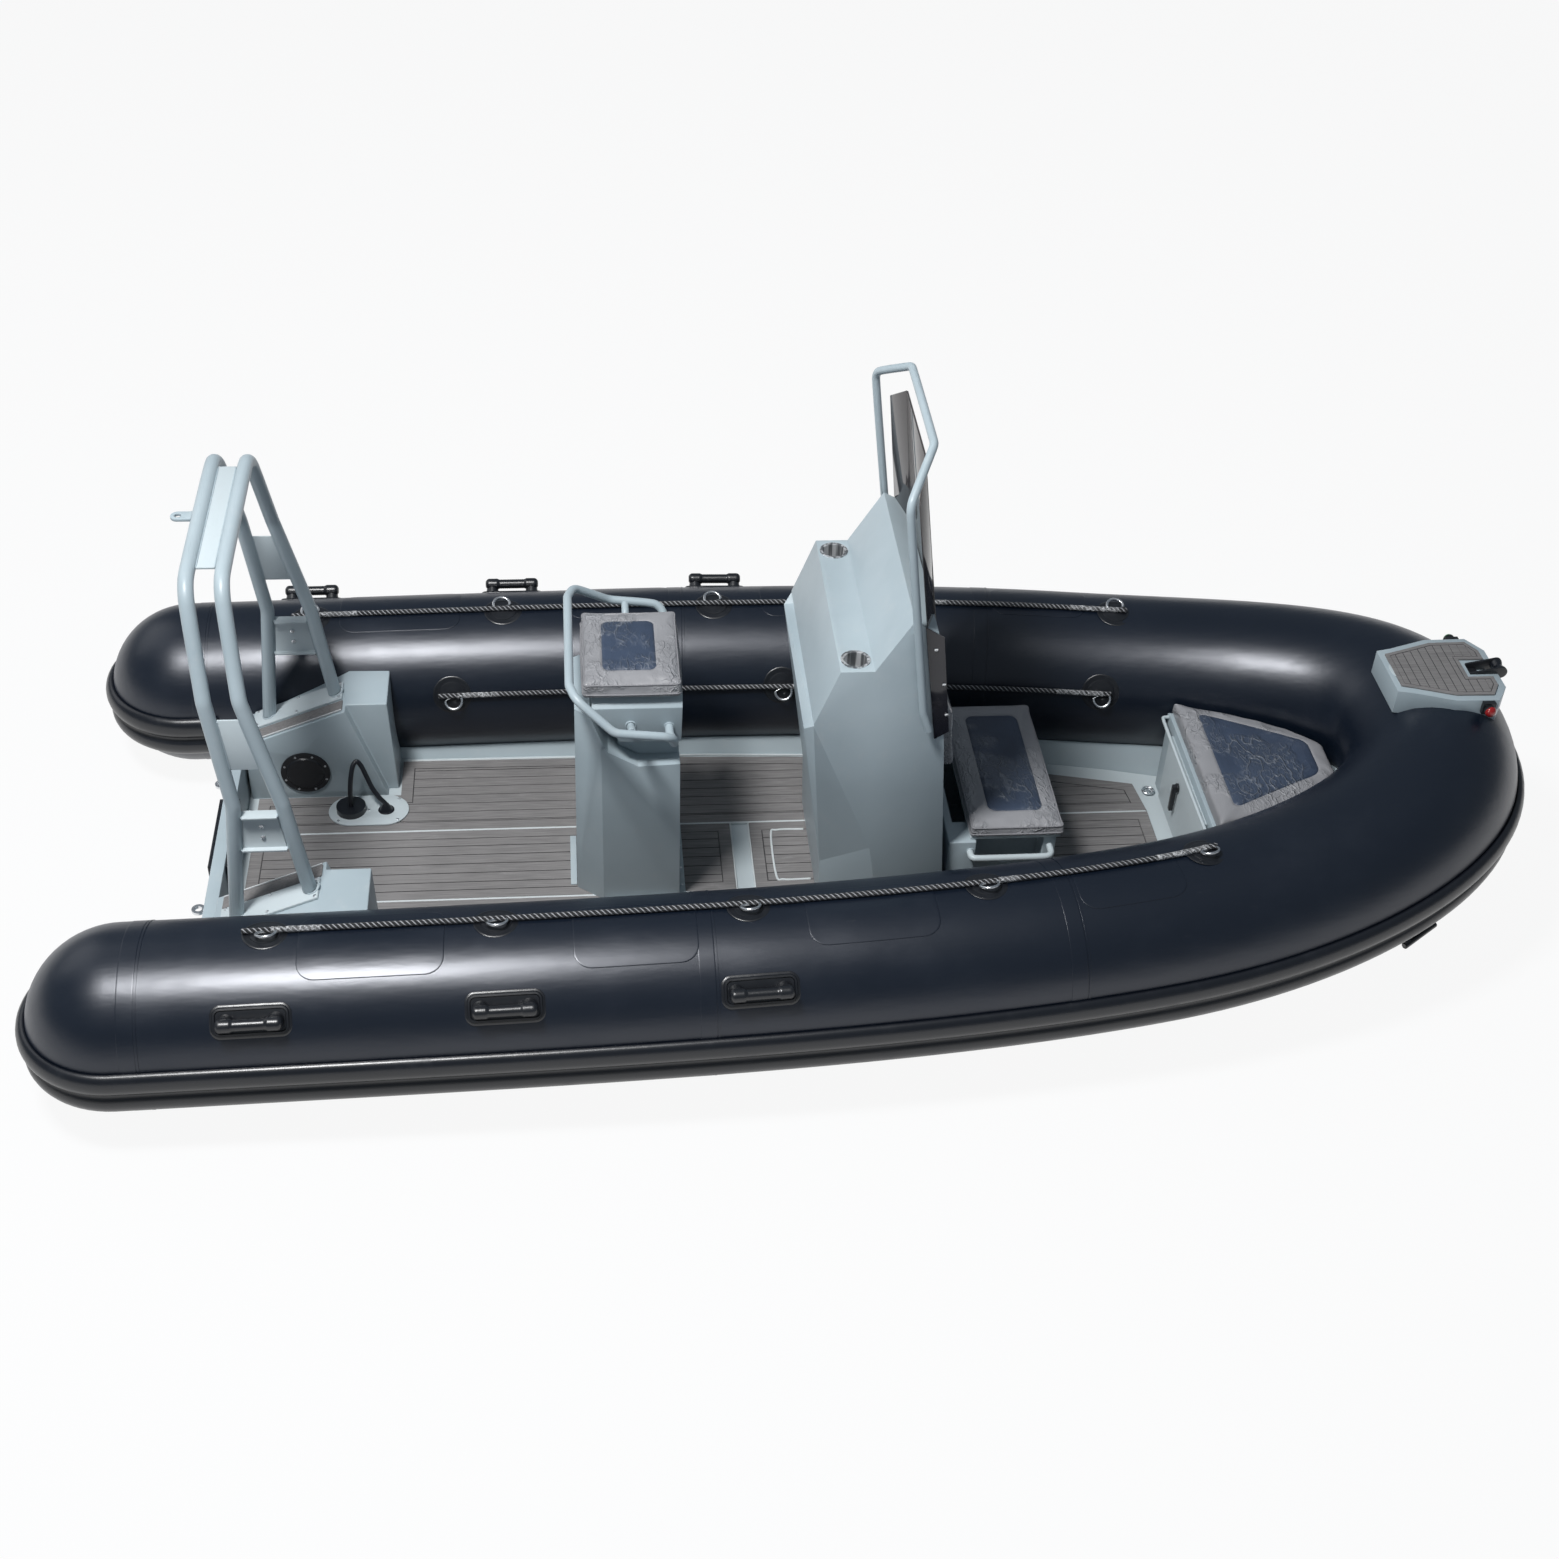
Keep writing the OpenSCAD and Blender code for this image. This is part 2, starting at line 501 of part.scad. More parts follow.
module arch_tow_eye() {
    x1 = aft_top_x - arch_r - seam;
    color([0.66, 0.74, 0.78]) difference() {
        union() {
            translate([x1 - 40, 0, arch_top - 5]) cylinder(d = 46, h = 10);
            translate([x1 - 40, -23, arch_top - 5]) cube([40, 46, 10]);
        }
        translate([x1 - 40, 0, arch_top - 10]) cylinder(d = tow_hole_d, h = 20);
    }
}

// ---- rigging gland and hose ----
gland_x = 660;
gland_y = 303;
hose_hole = 58;
module rigging_plate() {
    color([0.78, 0.82, 0.84]) translate([0, 0, deck_z + mat_t + seam]) difference() {
        linear_extrude(height = 6) {
            translate([gland_x, gland_y]) square([120, 166], center = true);
            for (s = [-1, 1]) translate([gland_x + s * 60, gland_y]) circle(d = 166);
        }
        for (s = [-1, 1]) translate([gland_x + s * 62, gland_y, -1]) cylinder(d = hose_hole, h = 8);
    }
}
// Hose route: out of the aft hole, over and back into the forward one
hose_route = [[598, 303, floor_z + seam], [598, 303, 160], [600, 310, 210], [606, 322, 262], [615, 340, 300], [628, 352, 312],
    [642, 350, 296], [658, 338, 260], [676, 324, 215], [700, 310, 178], [722, 303, 150], [722, 303, floor_z + seam]];
hose_d = 18;
module rigging_hose() {
    color([0.05, 0.05, 0.06]) bar(hose_route, hose_d / 2, 10, [0, 1, 0]);
}
eye_y = 330;
module stern_eyes() {
    // towing rings on the transom's aft face
    color([0.75, 0.76, 0.78]) both() translate([transom_x, eye_y, transom_top - 60]) {
        rotate([0, -90, 0]) cylinder(d = 46, h = 6);
        translate([-30, 0, -5]) difference() {
            union() {
                cylinder(d = 46, h = 10);
                translate([0, -12, 0]) cube([26, 24, 10]);
            }
            translate([0, 0, -1]) cylinder(d = 24, h = 12);
        }
    }
}

// ---- leaning post ----
post_end = post_x + post_len;
post_half = post_w / 2;
post_chamfer = 70;
post_neck_z = 706;          // top of the lower body under the head
post_head_z = 812;          // underside of the head
post_head_top = post_top - post_cushion_t - seam;
module leaning_post() {
    color([0.60, 0.68, 0.73]) difference() {
        intersection() {
            // side outline with the cut-out under the head
            across([[post_x, floor_z], [post_end, floor_z], [post_end - 2, post_neck_z], [post_end - 140, post_neck_z - 2],
                [post_x + 112, 768], [post_x + 56, 896], [post_x + 6, 903]], -post_half, post_half);
            // plan outline with its aft corners cut off
            translate([0, 0, floor_z]) linear_extrude(height = 900)
                polygon([[post_x, -post_half + post_chamfer], [post_x + post_chamfer + 20, -post_half], [post_end, -post_half],
                    [post_end, post_half], [post_x + post_chamfer + 20, post_half], [post_x, post_half - post_chamfer]]);
        }
        // the upper forward part of each side leans inboard above a slanting fold
        both() translate([post_x + 92, post_half, post_neck_z + 4]) rotate([0, 51.5, 0]) rotate([3, 0, 0])
            translate([-60, 0, 0]) cube([500, 60, 500]);
    }
}
module leaning_post_head() {
    head_x = post_x + 62;
    bevel = 46;
    color([0.60, 0.68, 0.73]) {
        difference() {
            across([[head_x, post_head_top], [head_x, post_head_top - 42], [head_x + 90, post_head_z], [post_end, post_head_z],
                [post_end + 4, post_head_top]], -post_half, post_half);
            both() translate([head_x - 100, post_half, post_head_top - 40]) rotate([45, 0, 0]) cube([600, 90, 90]);
        }
        // neck that carries the head on the lower body
        across([[post_end - 139, post_neck_z + seam], [post_end - 6, post_neck_z + seam], [post_end - 6, post_head_z + 5],
            [post_x + 145, post_head_z + 5], [post_x + 145, 750]], -post_half + 70, post_half - 70);
    }
}
module leaning_post_cushion() {
    color([0.55, 0.53, 0.53]) translate([post_x + 28, -post_half - 4, post_top - post_cushion_t]) cube([post_len - 22, post_w + 8, post_cushion_t]);
}
rail_r = rail_d / 2;
rail_out = 375;             // reach of the leaning post's rail from the centreline
module leaning_post_rail() {
    z = post_head_top - 12;
    foot = post_half + seam;
    foot_z = post_head_z + 60;
    half = [[post_end - 40, foot, foot_z], [post_end - 40, foot + 40, foot_z], [post_end - 28, rail_out - 60, foot_z + 10], [post_end - 34, rail_out, z - 20],
        [post_end - 220, rail_out, z], [post_x + 12, rail_out - 60, 1068], [post_x - 8, 250, 1075]];
    color([0.66, 0.74, 0.78]) {
        bar(bent(concat(half, [for (i = [6 : -1 : 0]) mirror_y(half[i])]), 60, 4), rail_r, 12);
        both() bar([[post_end - 165, foot, 880], [post_end - 165, foot + 30, 880], [post_end - 165, rail_out - 40, z - 8],
            [post_end - 165, rail_out - rail_r - seam, z - 8]], 13, 12);
    }
}

// ---- console ----
console_half = console_w / 2;
brow_z = 1388;
brow_x = 2462;
console_front = 2655;
ledge_x = [2242, 2350];
brow_drop = 44;             // the brow's front edge lies this far under its top
// Place of the console's front face at a height
front_slope = (console_front - 60 - brow_x - 78) / (brow_z - brow_drop - 900);
function front_x(z) = brow_x + 78 + (brow_z - brow_drop - z) * front_slope;
cup_x = 2296;
cup_y = 314;
pedestal = [
    [[2236, console_half - 90, floor_z], [2440, console_half - 0.5, floor_z], [2600, console_half - 0.5, floor_z]],
    [[2228, console_half - 90, 340], [2380, console_half - 0.5, 470], [2600, console_half - 0.5, 470]],
    [[2140, console_half - 28, 960], [2167, console_half - 0.5, 990], [2540, console_half - 0.5, 990]]];
module console() {
    color([0.60, 0.68, 0.73]) difference() {
        union() {
            // upper body, outlined from the side
            across([[2167, 996], [ledge_x[0], ledge_z], [ledge_x[1], ledge_z], [brow_x, brow_z], [brow_x + 78, brow_z - brow_drop],
                [console_front - 60, 900], [console_front, floor_z], [2455, floor_z], [2380, 470]], -console_half, console_half);
            // pedestal with its aft corners folded away
            skin([for (r = pedestal) concat([for (p = r) mirror_y(p)], [for (i = [len(r) - 1 : -1 : 0]) r[i]])]);
        }
        both() translate([cup_x, cup_y, ledge_z - cup_depth - 3]) cylinder(d = cup_d + 4, h = cup_depth + 20);
    }
}
module cup_holders() {
    color([0.80, 0.80, 0.82]) both() translate([cup_x, cup_y, 0]) difference() {
        union() {
            translate([0, 0, ledge_z + seam]) cylinder(d = cup_d + 22, h = 3);
            translate([0, 0, ledge_z - cup_depth]) cylinder(d = cup_d + 3, h = cup_depth + seam);
        }
        translate([0, 0, ledge_z - cup_depth + 2]) cylinder(d = cup_d, h = cup_depth + 20);
    }
}
// Flat plate through points in one plane, thickened along n
module pane(points, n) {
    skin([points, [for (p = points) p + n]]);
}
fold_half = 197;            // half the width of the windshield's flat middle at its top
shield_foot_z = 1264;
module windshield() {
    edge_z = brow_z - brow_drop + 1;
    top = [front_x(shield_top) + seam, fold_half, shield_top];
    low = [front_x(edge_z) + seam, 262, edge_z];
    foot = top + (low - top) * (shield_top - shield_foot_z) / (shield_top - edge_z);
    aft_low = [brow_x + 36, console_half + 4, brow_z - 19];
    aft_top = aft_low + (top - low) * 0.78;
    out = [shield_t * 0.6, shield_t * 0.8, 0];
    part = [0, seam, 0];
    color([0.16, 0.15, 0.15, 0.75]) {
        // middle pane, side panes and their tails down the console's sides
        pane([foot, top, mirror_y(top), mirror_y(foot)], [shield_t, 0, shield_t * front_slope]);
        both() {
            pane([top + part, low + part, aft_low, aft_top], out);
            across([[brow_x + 34, brow_z - 20], [brow_x + 96, brow_z - 60], [console_front - 50, 960], [console_front - 96, 930]],
                console_half + seam, console_half + shield_t);
        }
    }
}
frame_r = 14;
module windshield_frame() {
    leg_y = console_half + frame_r + 10;    // the legs stand off the console's sides
    half = [[2535, leg_y, 980], [2512, leg_y, 1050], [2434, leg_y + 6, 1620], [2407, 412, 1822], [2495, 242, 1930]];
    color([0.62, 0.70, 0.74]) {
        bar(bent(concat(half, [for (i = [4 : -1 : 0]) mirror_y(half[i])]), 50, 4), frame_r, 12, [1, 0, 0]);
        // lugs that hold the legs off the console's sides
        both() for (p = [[2500, 1135], [2470, 1345]]) translate([p[0], console_half + seam, p[1]]) rotate([-90, 0, 0]) cylinder(d = 16, h = frame_r + 10);
    }
}
back_z = [740, 970];
back_t = 52;
module console_backrest() {
    // its back follows the console's front face
    low_x = console_front - 60 * (back_z[0] - floor_z) / (900 - floor_z) + seam;
    color([0.50, 0.49, 0.50]) across([[low_x, back_z[0]], [low_x + back_t, back_z[0]], [front_x(back_z[1]) + back_t, back_z[1]],
        [front_x(back_z[1]) + seam, back_z[1]], [front_x(900) + seam, 900]], -300, 300);
}

// ---- front seat ----
seat_cushion_t = 52;
lid_t = 12;
lid_z = seat_top - seat_cushion_t - lid_t;
seat_end = seat_x + seat_len;
box_end = seat_end - 25;
seat_half = seat_w / 2;
box_top = lid_z - seam;
module front_seat_box() {
    color([0.62, 0.70, 0.74]) difference() {
        union() {
            translate([console_front + 2, -seat_half, floor_z]) cube([95, seat_w, box_top - floor_z]);
            translate([console_front + 2, -seat_half + 90, floor_z]) cube([box_end - console_front - 2, seat_w - 180, box_top - floor_z]);
            translate([box_end - 45, -seat_half + 22, floor_z]) cube([45, seat_w - 44, box_top - floor_z]);
        }
        // storage space under the lid
        translate([console_front + 30, -seat_half + 110, floor_z + 12]) cube([box_end - console_front - 60, seat_w - 220, 400]);
    }
}
module front_seat_lid() {
    color([0.66, 0.74, 0.78]) translate([seat_x + 10, -seat_half + 14, lid_z]) cube([seat_len - 24, seat_w - 28, lid_t]);
}
module front_seat_cushion() {
    color([0.55, 0.53, 0.53]) translate([seat_x, -seat_half, lid_z + lid_t]) cube([seat_len, seat_w, seat_cushion_t]);
}
module front_seat_handles() {
    z = box_top - 40;
    aft = console_front + 77;
    fwd = box_end - 22;
    path = [[aft, seat_half + seam, z], [aft, seat_half + 38, z], [fwd, seat_half + 38, z], [fwd, seat_half - 22 + seam, z]];
    color([0.80, 0.84, 0.86]) both() bar(bent(path, 26, 4), 12, 12);
}

// ---- bow ----
locker_gap = 22;            // bow locker's clearance to the tubes at their widest
locker_base_z = bow_cushion_top - 58;
function bow_plan(inset) = let (ts = [for (t = [46, 52, 58, 64, 70, 76, 81]) t],
    pts = [for (t = ts) line_at(t) - (tube_r + inset) * out_at(t)],
    good = [for (p = pts) if (p[0] > bow_locker_x + 60) [p[0], p[1]]],
    aft_y = line_x(bow_locker_x)[1] - tube_r - inset - 8)
    concat([[bow_locker_x, aft_y]], good);
module bow_outline(inset) {
    half = bow_plan(inset);
    polygon(concat(half, [for (i = [len(half) - 1 : -1 : 0]) [half[i][0], -half[i][1]]]));
}
module bow_locker() {
    color([0.62, 0.70, 0.74]) difference() {
        translate([0, 0, deck_z]) linear_extrude(height = locker_base_z - deck_z) bow_outline(locker_gap);
        // storage space behind the door
        translate([bow_locker_x - 1, -230, deck_z + 40]) cube([200, 460, locker_base_z - deck_z - 80]);
    }
}
door_y = 250;
door_t = 14;
module bow_locker_door() {
    color([0.66, 0.74, 0.78]) translate([bow_locker_x - door_t - 2 * seam, -door_y, deck_z + 22])
        cube([door_t, 2 * door_y, locker_base_z - deck_z - 54]);
}
module door_latch() {
    color([0.05, 0.05, 0.06]) translate([bow_locker_x - door_t - 3 * seam, 60, 330]) {
        rotate([0, -90, 0]) cylinder(d = 34, h = 8);
        translate([-22, -9, -100]) cube([14, 18, 110]);
    }
}
module bow_cushion() {
    color([0.55, 0.53, 0.53]) translate([0, 0, locker_base_z + seam]) linear_extrude(height = bow_cushion_top - locker_base_z - seam) bow_outline(locker_gap - 6);
}
module bow_grab_bar() {
    x = bow_locker_x - 26;
    y = line_x(bow_locker_x)[1] - tube_r - 40;
    z = locker_base_z - 14;
    path = [[bow_locker_x - seam, y, z], [x, y, z], [x, -y, z], [bow_locker_x - seam, -y, z]];
    color([0.78, 0.83, 0.85]) bar(bent(path, 12, 3), 7, 12);
}
step_z = 880;
step_half = [[4205, 118], [4262, 132], [4395, 178], [4545, 180], [4592, 108]];
fork_gap = 46;
fork_t = 8;
roller_x = 4602;
slot_half = fork_gap / 2 + fork_t + seam;
slot_z = step_z - 22;       // underside of the forks
module bow_step() {
    color([0.66, 0.74, 0.78]) difference() {
        translate([0, 0, 790]) linear_extrude(height = step_z - 790) difference() {
            polygon(concat(step_half, [for (i = [len(step_half) - 1 : -1 : 0]) [step_half[i][0], -step_half[i][1]]]));
            translate([roller_x - roller_d / 2 - 8, -slot_half]) square([100, 2 * slot_half]);
        }
        // slot that the roller's forks lie in
        translate([roller_x - 110, -slot_half, slot_z - seam]) cube([200, 2 * slot_half, 60]);
        skin(let (port = [for (t = [58, 64, 70, 76, 81, 85, 90]) ring_at(t, tube_r + seam, tube_sides)])
            concat(port, [for (i = [len(port) - 2 : -1 : 0]) [for (p = port[i]) mirror_y(p)]]));
    }
}
module bow_step_pad() {
    inner = [[4225, 92], [4270, 106], [4402, 152], [4534, 154], [4566, 100]];
    color([0.32, 0.31, 0.32]) translate([0, 0, step_z + seam]) linear_extrude(height = 6) difference() {
        polygon(concat(inner, [for (i = [len(inner) - 1 : -1 : 0]) [inner[i][0], -inner[i][1]]]));
        translate([roller_x - 126, -fork_gap / 2 - fork_t - 20]) square([220, fork_gap + 2 * fork_t + 40]);
    }
}
axle_d = 12;
module bow_roller_bracket() {
    z = step_z + 4;
    color([0.10, 0.10, 0.11]) {
        for (s = [-1, 1]) translate([0, s * (fork_gap + fork_t) / 2, 0]) rotate([90, 0, 0]) translate([0, 0, -fork_t / 2]) linear_extrude(height = fork_t)
            union() {
                translate([roller_x, z]) circle(d = 44);
                polygon([[roller_x - 108, slot_z], [roller_x - 108, z], [roller_x - 4, z + 21.6], [roller_x + 4, z - 21.6]]);
            }
        // web between the forks, and the roller's axle
        translate([roller_x - 108, -fork_gap / 2 - 1, slot_z]) cube([40, fork_gap + 2, 8]);
        translate([roller_x, 0, z]) rotate([90, 0, 0]) cylinder(d = axle_d, h = fork_gap + fork_t, center = true);
    }
}
module bow_roller() {
    color([0.06, 0.06, 0.06]) translate([roller_x, 0, step_z + 4]) rotate([90, 0, 0]) rotate_extrude() polygon([
        [axle_d / 2 + 0.1, -fork_gap / 2 + 1], [roller_d / 2, -fork_gap / 2 + 1], [roller_d / 2 - 7, 0], [roller_d / 2, fork_gap / 2 - 1],
        [axle_d / 2 + 0.1, fork_gap / 2 - 1]]);
}
module navigation_lights() {
    color([0.06, 0.06, 0.07]) both() translate([4505, 196, 856]) {
        translate([-22, -15.7, -22]) cube([44, 17.7, 44]);
        translate([0, 14, 0]) sphere(d = 40);
    }
}

hull();
transom();
engine_pads();
deck_panel();
deck_mats();
tube_aft_port();
tube_aft_starboard();
tube_mid_port();
tube_mid_starboard();
tube_bow();
rubbing_strake();
grab_handles();
bow_handles();
lifeline_rings();
lifelines_outer();
lifelines_inner();
stern_locker_port();
stern_locker_starboard();
locker_pads();
inspection_plates();
arch_aft_hoop();
arch_forward_hoop();
arch_plates();
arch_feet();
arch_tow_eye();
rigging_plate();
rigging_hose();
stern_eyes();
leaning_post();
leaning_post_head();
leaning_post_cushion();
leaning_post_rail();
console();
cup_holders();
windshield();
windshield_frame();
console_backrest();
front_seat_box();
front_seat_lid();
front_seat_cushion();
front_seat_handles();
bow_locker();
bow_locker_door();
door_latch();
bow_cushion();
bow_grab_bar();
bow_step();
bow_step_pad();
bow_roller_bracket();
bow_roller();
navigation_lights();
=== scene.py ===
# Rigid inflatable boat: finished surfaces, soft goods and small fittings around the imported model.
import math
import bpy
from mathutils import Matrix, Vector, noise


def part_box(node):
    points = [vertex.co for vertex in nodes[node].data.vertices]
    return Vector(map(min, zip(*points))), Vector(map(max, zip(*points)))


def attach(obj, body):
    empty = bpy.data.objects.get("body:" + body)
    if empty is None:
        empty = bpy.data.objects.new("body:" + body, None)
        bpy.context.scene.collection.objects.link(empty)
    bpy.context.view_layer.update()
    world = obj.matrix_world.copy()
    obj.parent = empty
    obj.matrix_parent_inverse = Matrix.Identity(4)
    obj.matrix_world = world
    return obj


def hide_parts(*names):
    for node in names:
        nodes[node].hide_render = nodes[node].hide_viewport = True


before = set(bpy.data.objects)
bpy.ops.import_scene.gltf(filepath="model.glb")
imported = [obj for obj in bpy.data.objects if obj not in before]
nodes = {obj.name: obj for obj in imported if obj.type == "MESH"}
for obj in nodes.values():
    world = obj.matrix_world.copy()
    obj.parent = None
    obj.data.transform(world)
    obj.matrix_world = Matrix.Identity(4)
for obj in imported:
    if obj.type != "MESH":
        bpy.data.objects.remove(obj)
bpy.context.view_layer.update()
scene = bpy.context.scene
print("frame loaded:", len(nodes), "nodes")

# camera, the same distance and tilt as a person on a quay would have
view = dict(position=(1.43275, -5.58354, 5.02183), yaw=7.559, pitch=-39.196, roll=3.292,
            lens=48.08, shiftX=-0.0109, shiftY=0.0050)


def addCamera():
    yaw, pitch, roll = (math.radians(view[k]) for k in ("yaw", "pitch", "roll"))
    ahead = Vector((math.sin(yaw) * math.cos(pitch), math.cos(yaw) * math.cos(pitch), math.sin(pitch)))
    level = Vector((math.cos(yaw), -math.sin(yaw), 0))
    upright = level.cross(ahead)
    right = level * math.cos(roll) + upright * math.sin(roll)
    up = upright * math.cos(roll) - level * math.sin(roll)
    bpy.ops.object.camera_add(location=view["position"])
    camera = bpy.context.active_object
    camera.rotation_mode = "QUATERNION"
    camera.rotation_quaternion = Matrix((right, up, -ahead)).transposed().to_quaternion()
    camera.data.lens = view["lens"]
    camera.data.sensor_width = 36
    camera.data.shift_x = view["shiftX"]
    camera.data.shift_y = view["shiftY"]
    scene.camera = camera


addCamera()
scene.view_settings.view_transform = "Standard"


# ---- shader maths ----
def sums(kind):
    # an operator, and the same one with its sides turned round
    return (lambda self, other: self.math(kind, self, other),
            lambda self, other: self.math(kind, other, self))


class Wire:
    # an output socket; sums on it add Math nodes
    def __init__(self, paint, socket):
        self.paint = paint
        self.socket = socket

    def math(self, operation, *values):
        return self.paint.add("ShaderNodeMath", {"operation": operation}, dict(enumerate(values)))

    __add__, __radd__ = sums("ADD")
    __sub__, __rsub__ = sums("SUBTRACT")
    __mul__, __rmul__ = sums("MULTIPLY")
    __truediv__, __rtruediv__ = sums("DIVIDE")

    def __pow__(self, other):
        return self.math("POWER", self, other)

    def __abs__(self):
        return self.math("ABSOLUTE", self)

    def atLeast(self, other):
        return self.math("MAXIMUM", self, other)

    def atMost(self, other):
        return self.math("MINIMUM", self, other)

    def wave(self):
        return self.math("SINE", self)

    def step(self, low, high):
        # 0 under low and 1 over high
        return self.paint.add("ShaderNodeMapRange", {"interpolation_type": "SMOOTHSTEP"},
                              {"Value": self, "From Min": low, "From Max": high})


class Paint:
    # one material: a Principled shader and the nodes that feed it
    def __init__(self, name):
        self.material = bpy.data.materials.new(name)
        self.material.use_nodes = True
        self.tree = self.material.node_tree
        self.tree.nodes.clear()
        self.shader = self.tree.nodes.new("ShaderNodeBsdfPrincipled")
        self.end = self.tree.nodes.new("ShaderNodeOutputMaterial")
        self.tree.links.new(self.shader.outputs[0], self.end.inputs[0])
        self.place = self.add("ShaderNodeTexCoord", {}, {}, "Object")

    def put(self, socket, value):
        if isinstance(value, Wire):
            self.tree.links.new(value.socket, socket)
        else:
            socket.default_value = value

    def add(self, kind, settings=None, inputs=None, out=0):
        node = self.tree.nodes.new(kind)
        for key, value in (settings or {}).items():
            setattr(node, key, value)
        for key, value in (inputs or {}).items():
            self.put(node.inputs[key], value)
        return Wire(self, node.outputs[out])

    def set(self, **values):
        names = dict(color="Base Color", roughness="Roughness", metal="Metallic", coat="Coat Weight",
                     coatRoughness="Coat Roughness", normal="Normal", alpha="Alpha",
                     specular="Specular IOR Level", specularTint="Specular Tint", sheen="Sheen Weight",
                     sheenRoughness="Sheen Roughness", sheenTint="Sheen Tint", glass="Transmission Weight",
                     ior="IOR")
        for key, value in values.items():
            value = rgba(value) if isinstance(value, tuple) else value
            self.put(self.shader.inputs[names[key]], value)
        return self.material

    def stretched(self, scale, turn=(0, 0, 0), at=None):
        links = {"Vector": at or self.place, "Scale": scale, "Rotation": turn}
        return self.add("ShaderNodeMapping", {}, links)

    def grain(self, scale, detail=3.0, rough=0.55, at=None):
        links = {"Vector": at or self.place, "Scale": scale, "Detail": detail, "Roughness": rough}
        return self.add("ShaderNodeTexNoise", {}, links)

    def cells(self, scale, at=None, feature="F1"):
        links = {"Vector": at or self.place, "Scale": scale}
        return self.add("ShaderNodeTexVoronoi", {"feature": feature}, links)

    def creases(self, scale, width=0.035, detail=1.5, at=None):
        # thin lines where the noise passes its middle, as folds in film
        return 1 - abs(self.grain(scale, detail, 0.45, at) - 0.5).step(0, width)

    def parts(self, at=None):
        # the three coordinates as separate wires
        node = self.tree.nodes.new("ShaderNodeSeparateXYZ")
        self.put(node.inputs[0], at or self.place)
        return [Wire(self, s) for s in node.outputs]

    def blend(self, factor, one, two):
        one, two = (rgba(c) if isinstance(c, tuple) else c for c in (one, two))
        return self.add("ShaderNodeMix", {"data_type": "RGBA"}, {0: factor, 6: one, 7: two}, 2)

    def bump(self, height, distance, strength=1.0, under=None):
        links = {"Height": height, "Distance": distance, "Strength": strength}
        if under:
            links["Normal"] = under
        return self.add("ShaderNodeBump", {}, links)


def rgba(color):
    return (*color, 1.0)


# ---- finishes ----
paintTones = dict(base=(0.400, 0.475, 0.512), worn=(0.350, 0.422, 0.458), dust=(0.47, 0.51, 0.52),
                  plate=(0.50, 0.565, 0.59), strip=(0.62, 0.66, 0.67))


def makeSatinPaint(name="satinPaint", base=paintTones["base"], worn=paintTones["worn"]):
    p = Paint(name)
    mottle = p.grain(2.3, 4)
    speckle = p.grain(160, 2)
    dust = p.grain(14, 6, 0.7).step(0.52, 0.78)
    body = p.blend(mottle.step(0.35, 0.7), base, worn)
    # dust gathers low down, close to the deck
    low = 1 - p.parts()[2].step(0.1, 0.28)
    dusty = p.blend((dust * 0.35 + low * 0.25).atMost(0.5), body, paintTones["dust"])
    rough = 0.34 + mottle * 0.1 + dust * 0.12
    peel = p.bump(p.grain(420, 1.5), 0.0005, 0.35)
    return p.set(color=dusty, roughness=rough, normal=p.bump(speckle, 0.0006, 0.25, peel), specular=0.5)


fabric = dict(clean=(0.0018, 0.0054, 0.0130), dusty=(0.0050, 0.0098, 0.0195), scuffed=(0.028, 0.031, 0.036),
              thread=0.0016, relief=0.00003)


def makeTubeFabric(name="tubeFabric", woven=True):
    # woven: the piece has a UV map that follows the threads
    p = Paint(name)
    weave = p.grain(600, 2)
    if woven:
        along, around = p.parts(p.add("ShaderNodeUVMap", {"uv_map": "cloth"}))[:2]
        turns = math.tau / fabric["thread"]
        weave = (along * turns).wave() * (around * turns).wave()
    dust = p.grain(3.1, 5, 0.62).step(0.45, 0.8)
    scuffs = p.grain(1, 5, 0.7, p.stretched((14, 60, 60))).step(0.62, 0.82)
    high = p.parts()[2].step(0.35, 0.62)
    tone = p.blend(dust * 0.5, fabric["clean"], fabric["dusty"])
    tone = p.blend(scuffs * high * 0.3, tone, fabric["scuffed"])
    puckers = p.grain(1, 3, 0.5, p.stretched((5, 18, 18)))
    soft = p.bump(puckers, 0.004, 0.25)
    rough = 0.345 + dust * 0.07 + scuffs * 0.08
    return p.set(color=tone, roughness=rough, normal=p.bump(weave, fabric["relief"], 0.5, soft),
                 specular=0.8, specularTint=(0.92, 0.94, 1.0),
                 sheen=0.02, sheenRoughness=0.4, sheenTint=(0.35, 0.5, 0.9))


def makeRubber(name="blackRubber", base=(0.0045, 0.0060, 0.0100), rough=0.32, grainSize=240):
    p = Paint(name)
    dust = p.grain(9, 5, 0.65).step(0.5, 0.8)
    tone = p.blend(dust * 0.45, base, tuple(c * 1.8 + 0.003 for c in base))
    pores = p.bump(p.grain(grainSize, 2), 0.0005, 0.4)
    normal = p.bump(p.grain(40, 2), 0.001, 0.2, pores)
    return p.set(color=tone, roughness=rough + dust * 0.14, normal=normal, specular=0.7)


rope = dict(dark=(0.006, 0.0065, 0.009), fleck=(0.44, 0.45, 0.47))


